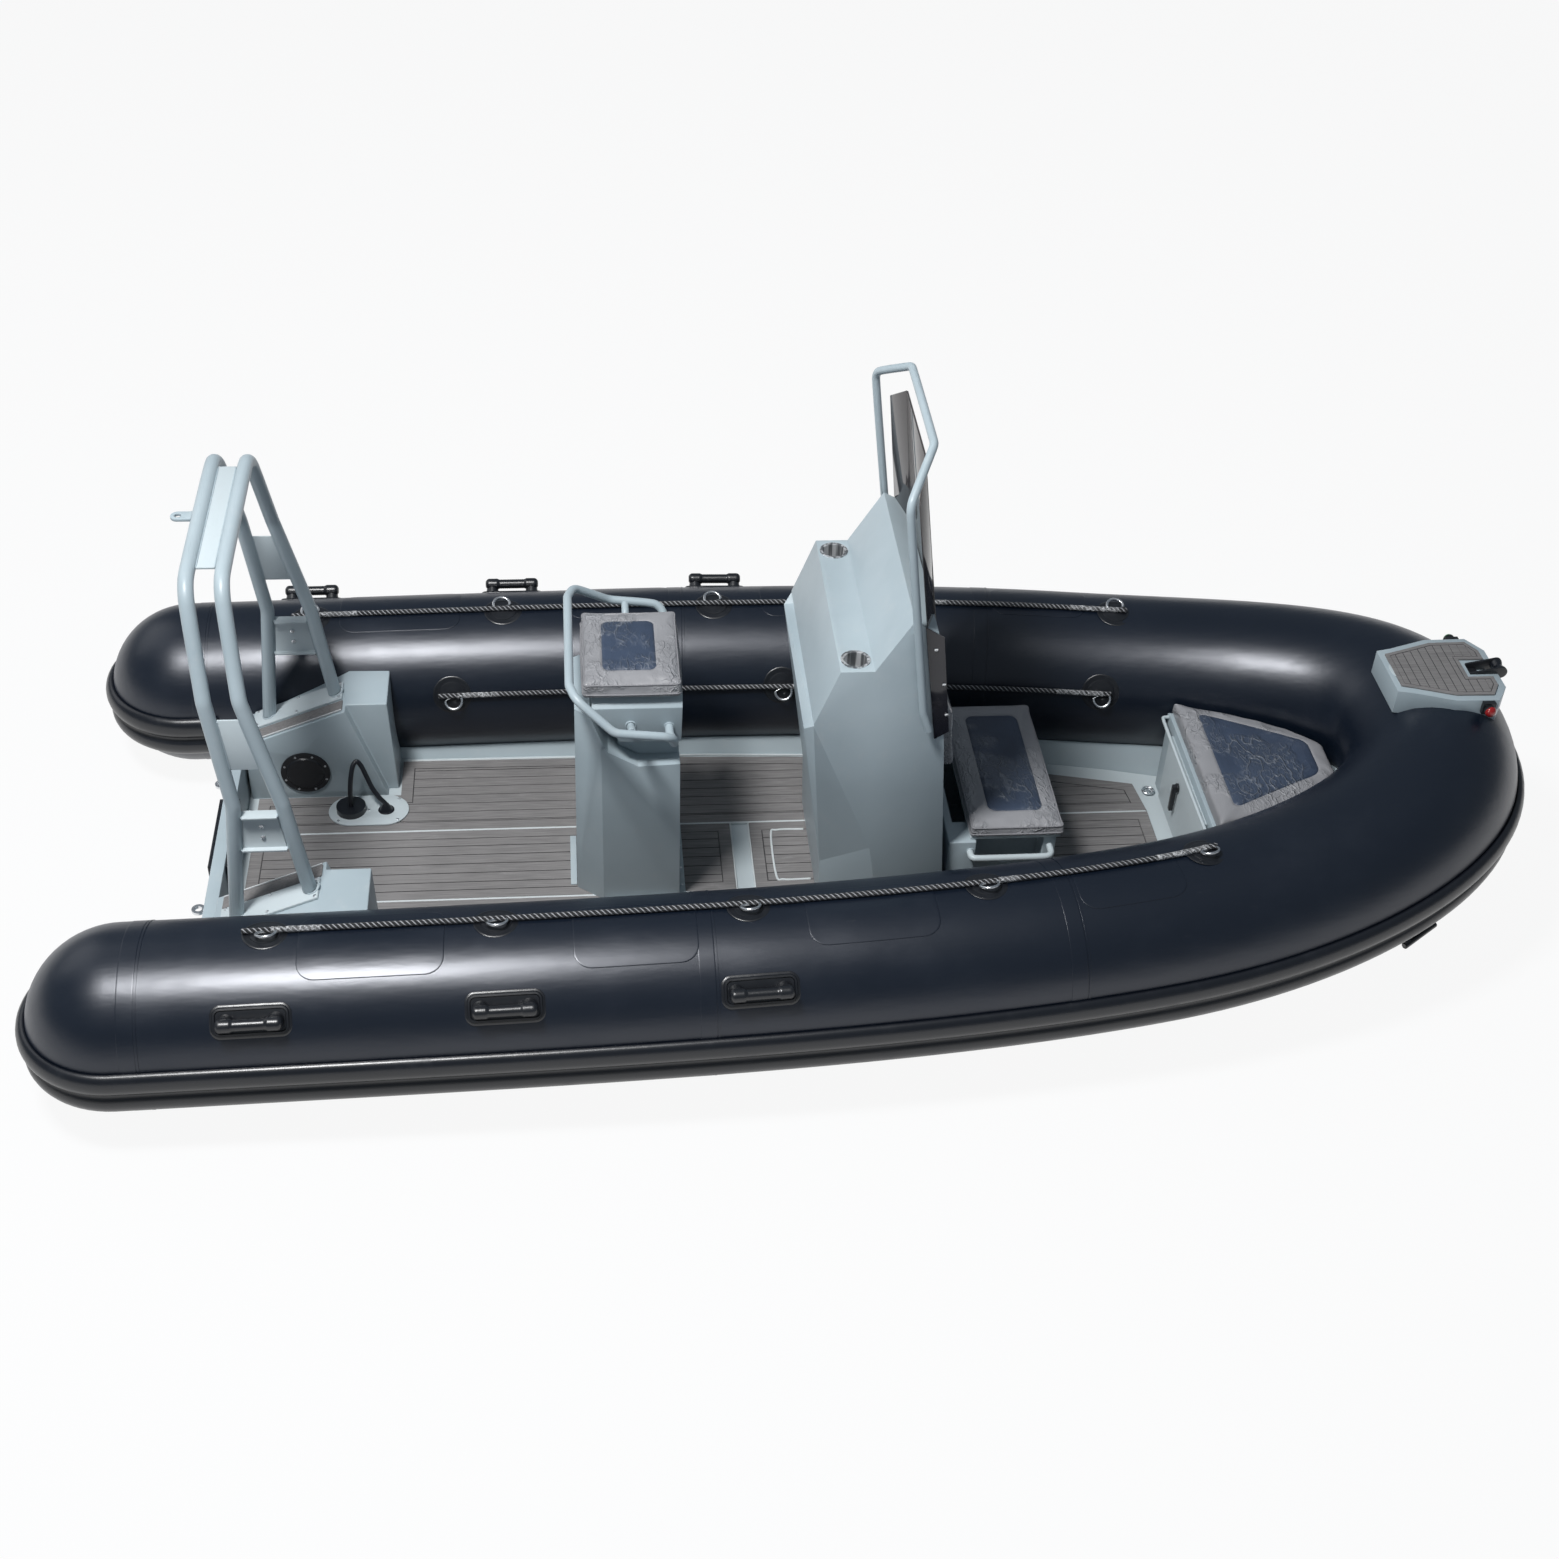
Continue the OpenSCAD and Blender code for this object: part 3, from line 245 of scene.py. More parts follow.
def makeRopeFinish():
    p = Paint("braidedRope")
    along, around = p.parts(p.add("ShaderNodeUVMap", {"uv_map": "lay"}))[:2]
    twist = (along - around).math("FRACT", along - around)
    fleck = 1 - abs(twist - 0.5) * 2
    broken = p.grain(900, 2).step(0.34, 0.5)
    light = fleck.step(0.68, 0.8) * (0.55 + broken * 0.45)
    yarn = ((along * 4 + around * 9) * math.tau).wave()
    tone = p.blend(light, rope["dark"], rope["fleck"])
    return p.set(color=tone, roughness=0.55 - light * 0.12, normal=p.bump(yarn, 0.0006, 0.6), sheen=0.15)


foam = dict(dark=(0.155, 0.150, 0.150), light=(0.235, 0.227, 0.225), cloud=(0.26, 0.252, 0.25),
            scuff=(0.36, 0.355, 0.355))


def makeDeckFoam():
    p = Paint("deckFoam")
    streaks = p.grain(1, 4, 0.6, p.stretched((9, 260, 260)))
    cloudy = p.grain(2.1, 3)
    scuffs = p.grain(1, 6, 0.75, p.stretched((7, 26, 26), (0, 0, 0.5))).step(0.58, 0.76)
    tone = p.blend(streaks.step(0.3, 0.72), foam["dark"], foam["light"])
    tone = p.blend(cloudy.step(0.4, 0.75) * 0.45, tone, foam["cloud"])
    tone = p.blend(scuffs * 0.4, tone, foam["scuff"])
    brushing = p.bump(p.grain(1, 2, 0.5, p.stretched((120, 900, 900))), 0.0006, 0.7)
    return p.set(color=tone, roughness=0.82 - scuffs * 0.1, normal=brushing, specular=0.3)


vinyl = dict(taupe=(0.290, 0.292, 0.308), navy=(0.036, 0.052, 0.086), bead=(0.245, 0.245, 0.26),
             thread=(0.22, 0.215, 0.215), film=(0.72, 0.75, 0.78), stitchPitch=0.009, stitchIn=0.0065)


def makeVinyl(name, base, inset=None, box=None, wrap=None):
    # inset: colour of the middle panel; box: its (x, y) centre and half sizes, corner and axes
    p = Paint(name)
    tone = p.blend(p.grain(5, 4).step(0.35, 0.7), base, tuple(c * 0.9 for c in base))
    leather = p.cells(620, feature="DISTANCE_TO_EDGE").step(0.0, 0.28)
    bump = p.bump(leather, 0.0003, 0.35)
    bump = p.bump(p.grain(1, 4, 0.55, p.stretched((16, 11, 14), (0.3, 0.2, 0.8))), 0.0035, 0.35, bump)
    rough = 0.42 + p.grain(30, 3) * 0.1
    if inset:
        a, b = (p.parts()[i] for i in box["axes"])
        edge = insetEdge(a, b, box)
        inside = 1 - edge.step(-0.0008, 0.0008)
        dark = p.blend(p.grain(7, 4).step(0.3, 0.7), inset, tuple(c * 1.25 for c in inset))
        tone = p.blend(inside, tone, dark)
        stitch = ((a + b) * (math.tau / vinyl["stitchPitch"])).wave().step(-0.2, 0.3)
        line = 1 - (abs(edge - vinyl["stitchIn"]) / 0.0011).atMost(1)
        tone = p.blend(line * stitch * 0.8, tone, vinyl["thread"])
        bump = p.bump((abs(edge) / 0.0028).atMost(1), 0.0016, 0.8, bump)
        rough = rough - inside * 0.06
    coat = 0.0
    if wrap:
        # clear film lies over the sides, creased and glossy
        slanted = p.stretched(wrap["creases"], (0.4, 0.2, 0.5))
        film = p.grain(wrap["patches"], 3, 0.6).step(wrap["from"], wrap["from"] + 0.08)
        long, short = p.creases(0.55, 0.03, 2, slanted), p.creases(1.7, 0.05, 2, slanted)
        folds = (long * 0.8 + short * 0.5) * film
        bump = p.bump(folds + p.grain(2.2, 3, 0.6, slanted) * 1.6 * film, 0.006, 0.8, bump)
        # the pale lines along the folds are partly whitened creases in the film and partly painted glints
        tone = p.blend((folds * 0.13).atMost(0.3), tone, vinyl["film"])
        coat = film * 0.9
    return p.set(color=tone, roughness=rough, normal=bump, coat=coat, coatRoughness=0.07)


def insetEdge(a, b, box):
    # signed distance from the rounded outline of a panel
    centre, half, corner = box["centre"], box["half"], box["corner"]
    da = abs(a - centre[0]) - (half[0] - corner)
    db = abs(b - centre[1]) - (half[1] - corner)
    if "taper" in box:  # the panel narrows forward
        db = db + (a - centre[0]) * box["taper"]
    outside = (da.atLeast(0) ** 2 + db.atLeast(0) ** 2) ** 0.5
    return outside + da.atLeast(db).atMost(0) - corner


def makeSteel(name="brightSteel", base=(0.78, 0.80, 0.82), rough=0.2, brush=(6, 6, 320)):
    p = Paint(name)
    lines = p.grain(1, 2, 0.5, p.stretched(brush))
    smudge = p.grain(22, 4)
    tone = p.blend(smudge.step(0.4, 0.75) * 0.35, base, tuple(c * 0.72 for c in base))
    return p.set(color=tone, metal=1.0, roughness=rough + lines * 0.16, normal=p.bump(lines, 0.0003, 0.35))


def makeCupSteel():
    # spun metal; the light and dark streaks down the wall are painted reflections
    p = Paint("cupSteel")
    streaks = p.grain(1, 3, 0.6, p.stretched((70, 70, 1.5))).step(0.42, 0.58)
    rings = p.grain(1, 2, 0.5, p.stretched((5, 5, 420)))
    tone = p.blend(streaks, (0.20, 0.21, 0.22), (0.88, 0.89, 0.90))
    return p.set(color=tone, metal=0.62, roughness=0.17 + rings * 0.12, normal=p.bump(rings, 0.0003, 0.3))


acrylic = dict(top=(0.062, 0.055, 0.056), foot=(0.022, 0.024, 0.036), haze=(0.085, 0.08, 0.08))


def makeAcrylic():
    p = Paint("smokedAcrylic")
    # the pane is painted darker towards its foot: painted shade
    deep = 1 - p.parts()[2].step(1.05, 1.75)
    haze = p.grain(4, 4).step(0.4, 0.8)
    tone = p.blend(deep * 0.8, acrylic["top"], acrylic["foot"])
    tone = p.blend(haze * 0.3, tone, acrylic["haze"])
    return p.set(color=tone, roughness=0.06 + haze * 0.06, glass=0.22, ior=1.49,
                 normal=p.bump(p.grain(2.4, 2), 0.002, 0.2), alpha=0.97)


def makePlastic(name="blackPlastic", base=(0.012, 0.013, 0.016), rough=0.32):
    p = Paint(name)
    spark = p.cells(900).step(0.0, 0.6)
    dust = p.grain(25, 5).step(0.5, 0.8)
    tone = p.blend(dust * 0.4, base, tuple(c * 1.8 + 0.006 for c in base))
    return p.set(color=tone, roughness=rough + dust * 0.12, normal=p.bump(spark, 0.0002, 0.4))


def makeFilm():
    p = Paint("clearFilm")
    folds = p.creases(38, 0.06, 3)
    fine = p.grain(90, 4)
    bump = p.bump(folds, 0.004, 1.0, p.bump(fine, 0.004, 0.8))
    alpha = 0.14 + folds * 0.5
    tone = p.blend(fine, (0.80, 0.82, 0.84), (0.93, 0.94, 0.95))
    return p.set(color=tone, roughness=0.12 + fine * 0.08, normal=bump, alpha=alpha, ior=1.45)


def makeLens(name, color):
    p = Paint(name)
    ribs = (p.parts()[2] * (math.tau / 0.004)).wave()
    tone = p.blend(p.grain(40, 2) * 0.4, color, tuple(c * 0.6 for c in color))
    return p.set(color=tone, roughness=0.08 + abs(ribs) * 0.05, normal=p.bump(ribs, 0.0006, 0.4), glass=0.25,
                 coat=0.6, coatRoughness=0.05)


satinPaint = makeSatinPaint()
plateMetal = makeSatinPaint("lightPlate", paintTones["plate"], paintTones["plate"])
stripMetal = makeSatinPaint("paleStrip", paintTones["strip"], paintTones["strip"])
brightSteel = makeSteel()
cupSteel = makeCupSteel()
tubeFabric = makeTubeFabric()
patchFabric = makeTubeFabric("patchFabric", False)
blackRubber = makeRubber()
gripRubber = makeRubber("gripRubber", (0.0062, 0.0075, 0.0105), 0.33, 420)
caulk = makeRubber("caulk", (0.018, 0.018, 0.020), 0.7, 600)
edging = makeRubber("paleEdging", (0.55, 0.57, 0.58), 0.6, 500)
ropeFinish = makeRopeFinish()
deckFoam = makeDeckFoam()
smokedAcrylic = makeAcrylic()
blackPlastic = makePlastic()
clearFilm = makeFilm()
redLens = makeLens("redLens", (0.42, 0.012, 0.012))
greenLens = makeLens("greenLens", (0.01, 0.24, 0.05))
print("finishes made")


# ---- modelling helpers ----
metalSlot, steelSlot = "painted_aluminium", "stainless"
rubberSlot, plasticSlot = "black_rubber", "black_plastic"


def selectOnly(*pieces):
    bpy.ops.object.select_all(action="DESELECT")
    for piece in pieces:
        piece.select_set(True)
    bpy.context.view_layer.objects.active = pieces[0]


def editMode(on=True):
    bpy.ops.object.mode_set(mode="EDIT" if on else "OBJECT")


def editAll():
    editMode()
    bpy.ops.mesh.select_all(action="SELECT")


def smoothAt(piece, angle):
    selectOnly(piece)
    bpy.ops.object.shade_smooth_by_angle(angle=math.radians(angle))
    return piece


def insets(steps):
    # steps the selected face in and up by (thickness, rise) pairs
    for thick, rise in steps:
        bpy.ops.mesh.inset(thickness=thick, depth=rise)


def raised(height, steps):
    # turns the flat outline just added into a stepped moulding
    editAll()
    bpy.ops.mesh.extrude_region_move(TRANSFORM_OT_translate={"value": (0, 0, height)})
    insets(steps)
    bpy.ops.mesh.select_all(action="SELECT")
    bpy.ops.mesh.normals_make_consistent(inside=False)
    editMode(False)


def joined(pieceName, pieces):
    selectOnly(*pieces)
    if len(pieces) > 1:
        bpy.ops.object.join()
    piece = bpy.context.active_object
    piece.name = pieceName
    return piece


def copyOf(pieceName, *nodeNames, quads=False):
    # one new object from copies of CAD nodes, with their loose triangles merged
    copies = []
    for n in nodeNames:
        copy = bpy.data.objects.new(pieceName, nodes[n].data.copy())
        bpy.context.collection.objects.link(copy)
        copy.data.materials.clear()
        copies.append(copy)
    piece = joined(pieceName, copies)
    if piece.data.has_custom_normals:
        bpy.ops.mesh.customdata_custom_splitnormals_clear()
    editAll()
    bpy.ops.mesh.remove_doubles(threshold=0.00004)
    if quads:
        bpy.ops.mesh.tris_convert_to_quads(face_threshold=math.radians(50),
                                           shape_threshold=math.radians(60))
    else:
        bpy.ops.mesh.dissolve_limited(angle_limit=math.radians(0.6))
    editMode(False)
    return piece


def modify(piece, kind, **settings):
    # adds a modifier and applies it
    selectOnly(piece)
    modifier = piece.modifiers.new("shape", kind)
    for key, value in settings.items():
        setattr(modifier, key, value)
    bpy.ops.object.modifier_apply(modifier=modifier.name)
    return piece


def bevelled(piece, width=0.003, segments=2, angle=24):
    modify(piece, "BEVEL", width=width, segments=segments, limit_method="ANGLE",
           angle_limit=math.radians(angle), use_clamp_overlap=True, harden_normals=False)
    return smoothAt(piece, 32)


def rounded(piece, sharp=48):
    # smooths bars and mouldings, and keeps their sharp ends
    mesh = piece.data
    selectOnly(piece)
    editMode()
    bpy.ops.mesh.select_mode(type="EDGE")
    bpy.ops.mesh.select_all(action="DESELECT")
    bpy.ops.mesh.edges_select_sharp(sharpness=math.radians(sharp))
    editMode(False)
    crease = mesh.attributes.get("crease_edge") or mesh.attributes.new("crease_edge", "FLOAT", "EDGE")
    for edge in mesh.edges:
        crease.data[edge.index].value = 0.85 if edge.select else 0.0
    modify(piece, "SUBSURF", levels=1, render_levels=1)
    return smoothAt(piece, 35)


def facedOut(piece):
    selectOnly(piece)
    editAll()
    bpy.ops.mesh.normals_make_consistent(inside=False)
    editMode(False)
    return piece


def settled():
    # the shape just added, with its place kept in its points
    bpy.ops.object.transform_apply(location=True)
    return bpy.context.active_object


def finish(piece, material, slot, *replaced, body="boat"):
    if material:
        piece.data.materials.clear()
        piece.data.materials.append(material)
    if replaced:
        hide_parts(*replaced)
    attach(piece, body)
    return piece


def dressed(name, node, edge=0.003, steps=2, angle=24, material=None, slot=metalSlot, body="boat"):
    # a copy of a CAD node with rounded edges and a finish
    piece = bevelled(copyOf(name, node), edge, steps, angle)
    return finish(piece, material or satinPaint, slot, node, body=body)


def moulded(name, node, sharp=48, material=None, slot=metalSlot, body="boat"):
    # a copy of a CAD node made smooth between its sharp ends
    piece = rounded(copyOf(name, node, quads=True), sharp)
    return finish(piece, material or satinPaint, slot, node, body=body)


def meshPiece(pieceName, points, faces):
    mesh = bpy.data.meshes.new(pieceName)
    mesh.from_pydata([tuple(p) for p in points], [], faces)
    mesh.validate()
    piece = bpy.data.objects.new(pieceName, mesh)
    bpy.context.collection.objects.link(piece)
    selectOnly(piece)
    bpy.ops.object.shade_smooth()
    return piece


def skin(m, n):
    # quads between m rings of n points
    return [(i * n + j, i * n + (j + 1) % n, (i + 1) * n + (j + 1) % n, (i + 1) * n + j)
            for i in range(m - 1) for j in range(n)]


def loft(pieceName, rings, capped=True, uvName=None, uvs=None):
    # skin over rings of points
    n, m = len(rings[0]), len(rings)
    points = [p for ring in rings for p in ring]
    faces = skin(m, n)
    sides = len(faces)
    if capped:
        faces += [tuple(range(n - 1, -1, -1)), tuple((m - 1) * n + j for j in range(n))]
    piece = meshPiece(pieceName, points, faces)
    if uvName:
        layer = piece.data.uv_layers.new(name=uvName)
        for f in range(sides):
            i, j = divmod(f, n)
            corners = ((i, j), (i, j + 1), (i + 1, j + 1), (i + 1, j))
            for loop, (a, b) in zip(piece.data.polygons[f].loop_indices, corners):
                layer.data[loop].uv = uvs(a, b)
    return piece


def circle(middle, side, up, radius, count):
    turns = [k * math.tau / count for k in range(count)]
    return [middle + radius * (math.cos(t) * side + math.sin(t) * up) for t in turns]


def sweep(pieceName, path, radius, sides=12, start=None):
    # round bar along a path; radius is a number or a function of the point's index
    path = [Vector(p) for p in path]
    rings, side = [], Vector(start) if start else None
    for i, point in enumerate(path):
        ahead = (path[min(i + 1, len(path) - 1)] - path[max(i - 1, 0)]).normalized()
        if side is None:
            side = ahead.orthogonal()
        side = (side - ahead * side.dot(ahead)).normalized()
        up = ahead.cross(side)
        r = radius(i) if callable(radius) else radius
        rings.append(circle(point, side, up, r, sides))
    return loft(pieceName, rings)


def rounds(points, step):
    # evenly spaced points on a smooth line through the given ones
    points = [Vector(p) for p in points]
    ends = [points[0] * 2 - points[1]] + points + [points[-1] * 2 - points[-2]]
    line = []
    for i in range(1, len(ends) - 2):
        a, b, c, d = ends[i - 1:i + 3]
        count = max(1, round((c - b).length / step))
        for k in range(count):
            t = k / count
            line.append(0.5 * ((2 * b) + (c - a) * t + (2 * a - 5 * b + 4 * c - d) * t * t
                               + (3 * b - a - 3 * c + d) * t ** 3))
    return line + [points[-1]]


def cornerWalk(x0, x1, y0, y1, reachX, reachY, steps):
    # points around a box with round corners
    points = []
    for cx, cy, turn in ((x1 - reachX, y1 - reachY, 0), (x0 + reachX, y1 - reachY, 90),
                         (x0 + reachX, y0 + reachY, 180), (x1 - reachX, y0 + reachY, 270)):
        for k in range(steps + 1):
            b = math.radians(turn + 90 * k / steps)
            points.append((cx + reachX * math.cos(b), cy + reachY * math.sin(b)))
    return points


def placedCopies(pieceName, model, places):
    # copies of one modelled mesh, each at its own matrix, as one piece
    copies = []
    for matrix in places:
        mesh = model.data.copy()
        mesh.transform(matrix)
        copy = bpy.data.objects.new(pieceName, mesh)
        bpy.context.collection.objects.link(copy)
        copies.append(copy)
    bpy.data.objects.remove(model)
    return joined(pieceName, copies)


def standing(point, up, ahead=(1, 0, 0)):
    # matrix that sets a model's base at a point, with its z along up
    z = Vector(up).normalized()
    x = (Vector(ahead) - z * Vector(ahead).dot(z)).normalized()
    return Matrix.Translation(point) @ Matrix((x, z.cross(x), z)).transposed().to_4x4()


def mirrored(point):
    return Vector((point[0], -point[1], point[2]))


# ---- air tubes ----
tube = dict(radius=0.292, halfBeam=0.873, reach=4.404, height=0.300, rise=0.0237, bowLift=0.151, curveX=0.462,
            liftX=3.243, shapeX=2 / 3.27, shapeY=2 / 2.39, sides=72, endRings=17, coarseTo=3.2)


def lineZ(x):
    lift = max(0.0, x - tube["liftX"]) / (tube["reach"] - tube["liftX"])
    return tube["height"] + tube["rise"] * x + tube["bowLift"] * lift ** 2


def planAngle(x):
    share = min(1.0, max(0.0, x - tube["curveX"]) / (tube["reach"] - tube["curveX"]))
    return math.asin(share ** (1 / tube["shapeX"]))


def lineAt(t):
    x, run = tube["curveX"], tube["reach"] - tube["curveX"]
    x = x + run * math.sin(t) ** tube["shapeX"] if t > 0 else x
    y = tube["halfBeam"] * max(0.0, math.cos(t)) ** tube["shapeY"] if t < math.pi / 2 else 0.0
    return Vector((x, y, lineZ(x)))


def outAt(t):
    a = max(0.00002, min(math.pi / 2 - 0.00002, t))
    dx = (tube["reach"] - tube["curveX"]) * tube["shapeX"] * math.sin(a) ** (tube["shapeX"] - 1) * math.cos(a)
    dy = -tube["halfBeam"] * tube["shapeY"] * math.cos(a) ** (tube["shapeY"] - 1) * math.sin(a)
    if t <= 0:
        return Vector((0, 1, 0))
    return Vector((1, 0, 0)) if t >= math.pi / 2 else Vector((-dy, dx, 0)).normalized()


def lineX(x):
    return Vector((x, tube["halfBeam"], lineZ(x))) if x <= tube["curveX"] else lineAt(planAngle(x))


def outX(x):
    return Vector((0, 1, 0)) if x <= tube["curveX"] else outAt(planAngle(x))


def around(centre, out, angle, radius):
    a = math.radians(angle)
    return centre + radius * (math.cos(a) * out + math.sin(a) * Vector((0, 0, 1)))


def onTube(x, angle, lift=0.0, side=1):
    p = around(lineX(x), outX(x), angle, tube["radius"] + lift)
    return p if side > 0 else mirrored(p)


def onTubeFrame(x, angle, lift=0.0, side=1):
    # matrix with its x along the tube and its z away from it
    out = outX(x)
    away = math.cos(math.radians(angle)) * out + math.sin(math.radians(angle)) * Vector((0, 0, 1))
    along = (lineX(x + 0.005) - lineX(x - 0.005)).normalized()
    if side < 0:
        away, along = mirrored(away), mirrored(along)
    return standing(onTube(x, angle, lift, side), away, along)


def stations(fine=0.045, turn=1.6):
    # (centre, outward) along the port tube, from its round aft end to the bow
    xs = [k * tube["curveX"] / 8 for k in range(9)]
    while xs[-1] < tube["coarseTo"]:
        xs.append(xs[-1] + fine)
    found = [(lineX(x), outX(x)) for x in xs]
    t, last = planAngle(xs[-1]), math.pi / 2
    steps = math.ceil((last - t) / math.radians(turn))
    turns = [t + (last - t) * (k + 1) / steps for k in range(steps)]
    return found + [(lineAt(b), outAt(b)) for b in turns]


def makeCollar():
    sides, ends = tube["sides"], tube["endRings"]
    angles = [k * 360 / sides for k in range(sides)]
    rings, lengths, walked = [], [], 0.0
    for k in range(1, ends):
        a = math.radians(k * 90 / ends)
        centre = Vector((-tube["radius"] * math.cos(a), tube["halfBeam"], lineZ(0)))
        rings.append([around(centre, Vector((0, 1, 0)), b, tube["radius"] * math.sin(a)) for b in angles])
        lengths.append(tube["radius"] * (a - math.pi / 2))
    port = stations()
    for i, (centre, out) in enumerate(port):
        walked += (centre - port[i - 1][0]).length if i else 0
        rings.append([around(centre, out, b, tube["radius"]) for b in angles])
        lengths.append(walked)
    far = [[mirrored(p) for p in ring] for ring in rings[-2::-1]]
    lengths += [2 * lengths[-1] - s for s in lengths[-2::-1]]
    reach = math.tau * tube["radius"]
    piece = loft("airTubes", rings + far, uvName="cloth", uvs=lambda i, j: (lengths[i], reach * j / sides))
    finish(piece, tubeFabric, "tube_fabric", "tube_aft_port", "tube_aft_starboard", "tube_mid_port",
           "tube_mid_starboard", "tube_bow")


sheet = dict(sunk=0.0004, edge=0.8, flat=(0.994, 0.975, 0.8, 0.6, 0.4, 0.2))


def sheetOnTube(pieceName, outline, height, side=1):
    # thin fabric shape glued on a tube: outline points are (x, angle); it thins out at its rim
    cx = sum(p[0] for p in outline) / len(outline)
    ca = sum(p[1] for p in outline) / len(outline)
    rings = []
    steps = [(1.0, -sheet["sunk"]), (1.0, height * sheet["edge"])] + [(s, height) for s in sheet["flat"]]
    for share, lift in steps:
        rings.append([onTube(cx + (x - cx) * share, ca + (a - ca) * share, lift, side) for x, a in outline])
    if side < 0:
        rings = [ring[::-1] for ring in rings]
    n = len(outline)
    points = [p for ring in rings for p in ring] + [onTube(cx, ca, height, side)]
    last = (len(rings) - 1) * n
    faces = skin(len(rings), n) + [(last + j, last + (j + 1) % n, len(points) - 1) for j in range(n)]
    return facedOut(meshPiece(pieceName, points, faces))


def roundedBox(x0, x1, a0, a1, corner, steps=6, side=10):
    # outline of a patch with round corners, as (x, angle) points
    perDegree = math.pi * tube["radius"] / 180
    points = cornerWalk(x0, x1, a0, a1, corner, corner / perDegree, steps)
    full = []
    for i, p in enumerate(points):
        q = points[(i + 1) % len(points)]
        parts = side if (i + 1) % (steps + 1) == 0 else 1
        for k in range(parts):
            full.append((p[0] + (q[0] - p[0]) * k / parts, p[1] + (q[1] - p[1]) * k / parts))
    return full


# bands over the baffles, with wear patches where people sit and step
trim = dict(bandWidth=0.05, bandHeight=0.0011, bands=(0.06, 1.79, 2.93), doubling=0.0006, doubleAt=0.031,
            doubleWidth=0.006, patchCorner=0.055, patchHeight=0.0016,
            patches=((0.56, 1.00, 60, 112), (1.39, 1.77, 58, 106), (2.11, 2.52, 62, 108),
                     (2.97, 3.32, 66, 104)))


def bandOnTube(x, width, height, side):
    # a band all around the tube, thin at both edges
    rings = []
    half = [(-0.5, -sheet["sunk"]), (-0.5, height * sheet["edge"]), (-0.48, height), (-0.42, height)]
    for shift, lift in half + [(-s, h) for s, h in half[::-1]]:
        ring = [onTube(x + shift * width, k * 5, lift, side) for k in range(tube["sides"])]
        rings.append(ring if side > 0 else ring[::-1])
    return loft("band", rings, capped=False)


def makeTubeTrim():
    made = []
    for side in (1, -1):
        for x in trim["bands"]:
            made.append(bandOnTube(x, trim["bandWidth"], trim["bandHeight"], side))
            made.append(bandOnTube(x + trim["doubleAt"], trim["doubleWidth"],
                                   trim["bandHeight"] + trim["doubling"], side))
        for patch in trim["patches"]:
            outline = roundedBox(*patch, trim["patchCorner"])
            made.append(sheetOnTube("patch", outline, trim["patchHeight"], side))
    finish(facedOut(joined("tubeTrim", made)), patchFabric, "tube_fabric")


# one ridge of the strake: share of its half width, share of its height
ridge = ((1.06, 0), (1.10, 0.1), (1.09, 0.3), (1.03, 0.55), (0.93, 0.76), (0.8, 0.91), (0.65, 0.99),
         (0.5, 1.0), (0.36, 0.93), (0.24, 0.78), (0.15, 0.56), (0.08, 0.36))
strake = dict(middle=-7.2, half=15.0, height=0.029, innerX=0.12, gap=0.0003, groove=0.31, back=-0.02)


def makeStrake():
    # two round ridges with a groove between them
    back = [(a, strake["back"]) for a in (0.5, 0, -0.5)]
    profile = [(-a, h) for a, h in ridge] + [(0.0, strake["groove"])] + list(ridge[::-1]) + back

    def section(centre, out):
        return [around(centre, out, strake["middle"] + a * strake["half"],
                       tube["radius"] + strake["gap"] + h * strake["height"]) for a, h in profile]

    port = [section(Vector((x, tube["halfBeam"], lineZ(x))), Vector((0, -1, 0)))
            for x in (strake["innerX"], strake["innerX"] / 2)]
    aftEnd = Vector((0, tube["halfBeam"], lineZ(0)))
    for k in range(180, -1, -5):
        b = math.radians(k)
        port.append(section(aftEnd, Vector((-math.sin(b), math.cos(b), 0))))
    port += [section(c, o) for c, o in stations()[1:]]
    piece = loft("rubbingStrake", port + [[mirrored(p) for p in ring] for ring in port[-2::-1]])
    finish(facedOut(piece), blackRubber, rubberSlot, "rubbing_strake")


# ---- lifelines ----
lines = dict(ropeWide=0.0195, lay=0.051, strands=3, ropeStep=0.0042, ropeSides=12, lift=0.0118,
             ringXs=(0.459, 1.156, 1.935, 2.693, 3.430), ringAngle=96, innerXs=(0.967, 2.187, 3.400),
             innerAngle=161, tails=(0.070, 0.050), tip=0.040)


def ropePath(xs, angle, tail, side):
    x, last, path = xs[0] - tail, xs[-1] + lines["tip"], []
    count = math.ceil((last - x) / lines["ropeStep"])
    for k in range(count + 1):
        path.append(onTube(x + (last - x) * k / count, angle, lines["lift"], side))
    return path


def makeRope(pieceName, xs, angle, tail, side, node):
    path = ropePath(xs, angle, tail, side)
    sides, walked, lengths = lines["ropeSides"], 0.0, []
    rings, wide = [], lines["ropeWide"] / 2
    for i, point in enumerate(path):
        walked += (point - path[i - 1]).length if i else 0
        lengths.append(walked)
        ahead = (path[min(i + 1, len(path) - 1)] - path[max(i - 1, 0)]).normalized()
        across = Vector((0, 0, 1)).cross(ahead).normalized()
        up = ahead.cross(across)
        ring = []
        for k in range(sides):
            turn = k * math.tau / sides
            lobe = math.cos(lines["strands"] * (turn - math.tau * walked / lines["lay"]))
            taper = 0.75 if i in (0, len(path) - 1) else 1
            r = wide * (0.94 + 0.08 * lobe) * taper
            ring.append(point + r * (math.cos(turn) * across + math.sin(turn) * up))
        rings.append(ring)
    strands = lines["strands"]
    piece = loft(pieceName, rings, uvName="lay",
                 uvs=lambda i, j: (strands * lengths[i] / lines["lay"], strands * j / sides))
    finish(piece, ropeFinish, "rope", node)
    coarse = path[::8] + [path[-1]] if (len(path) - 1) % 8 else path[::8]
    return piece


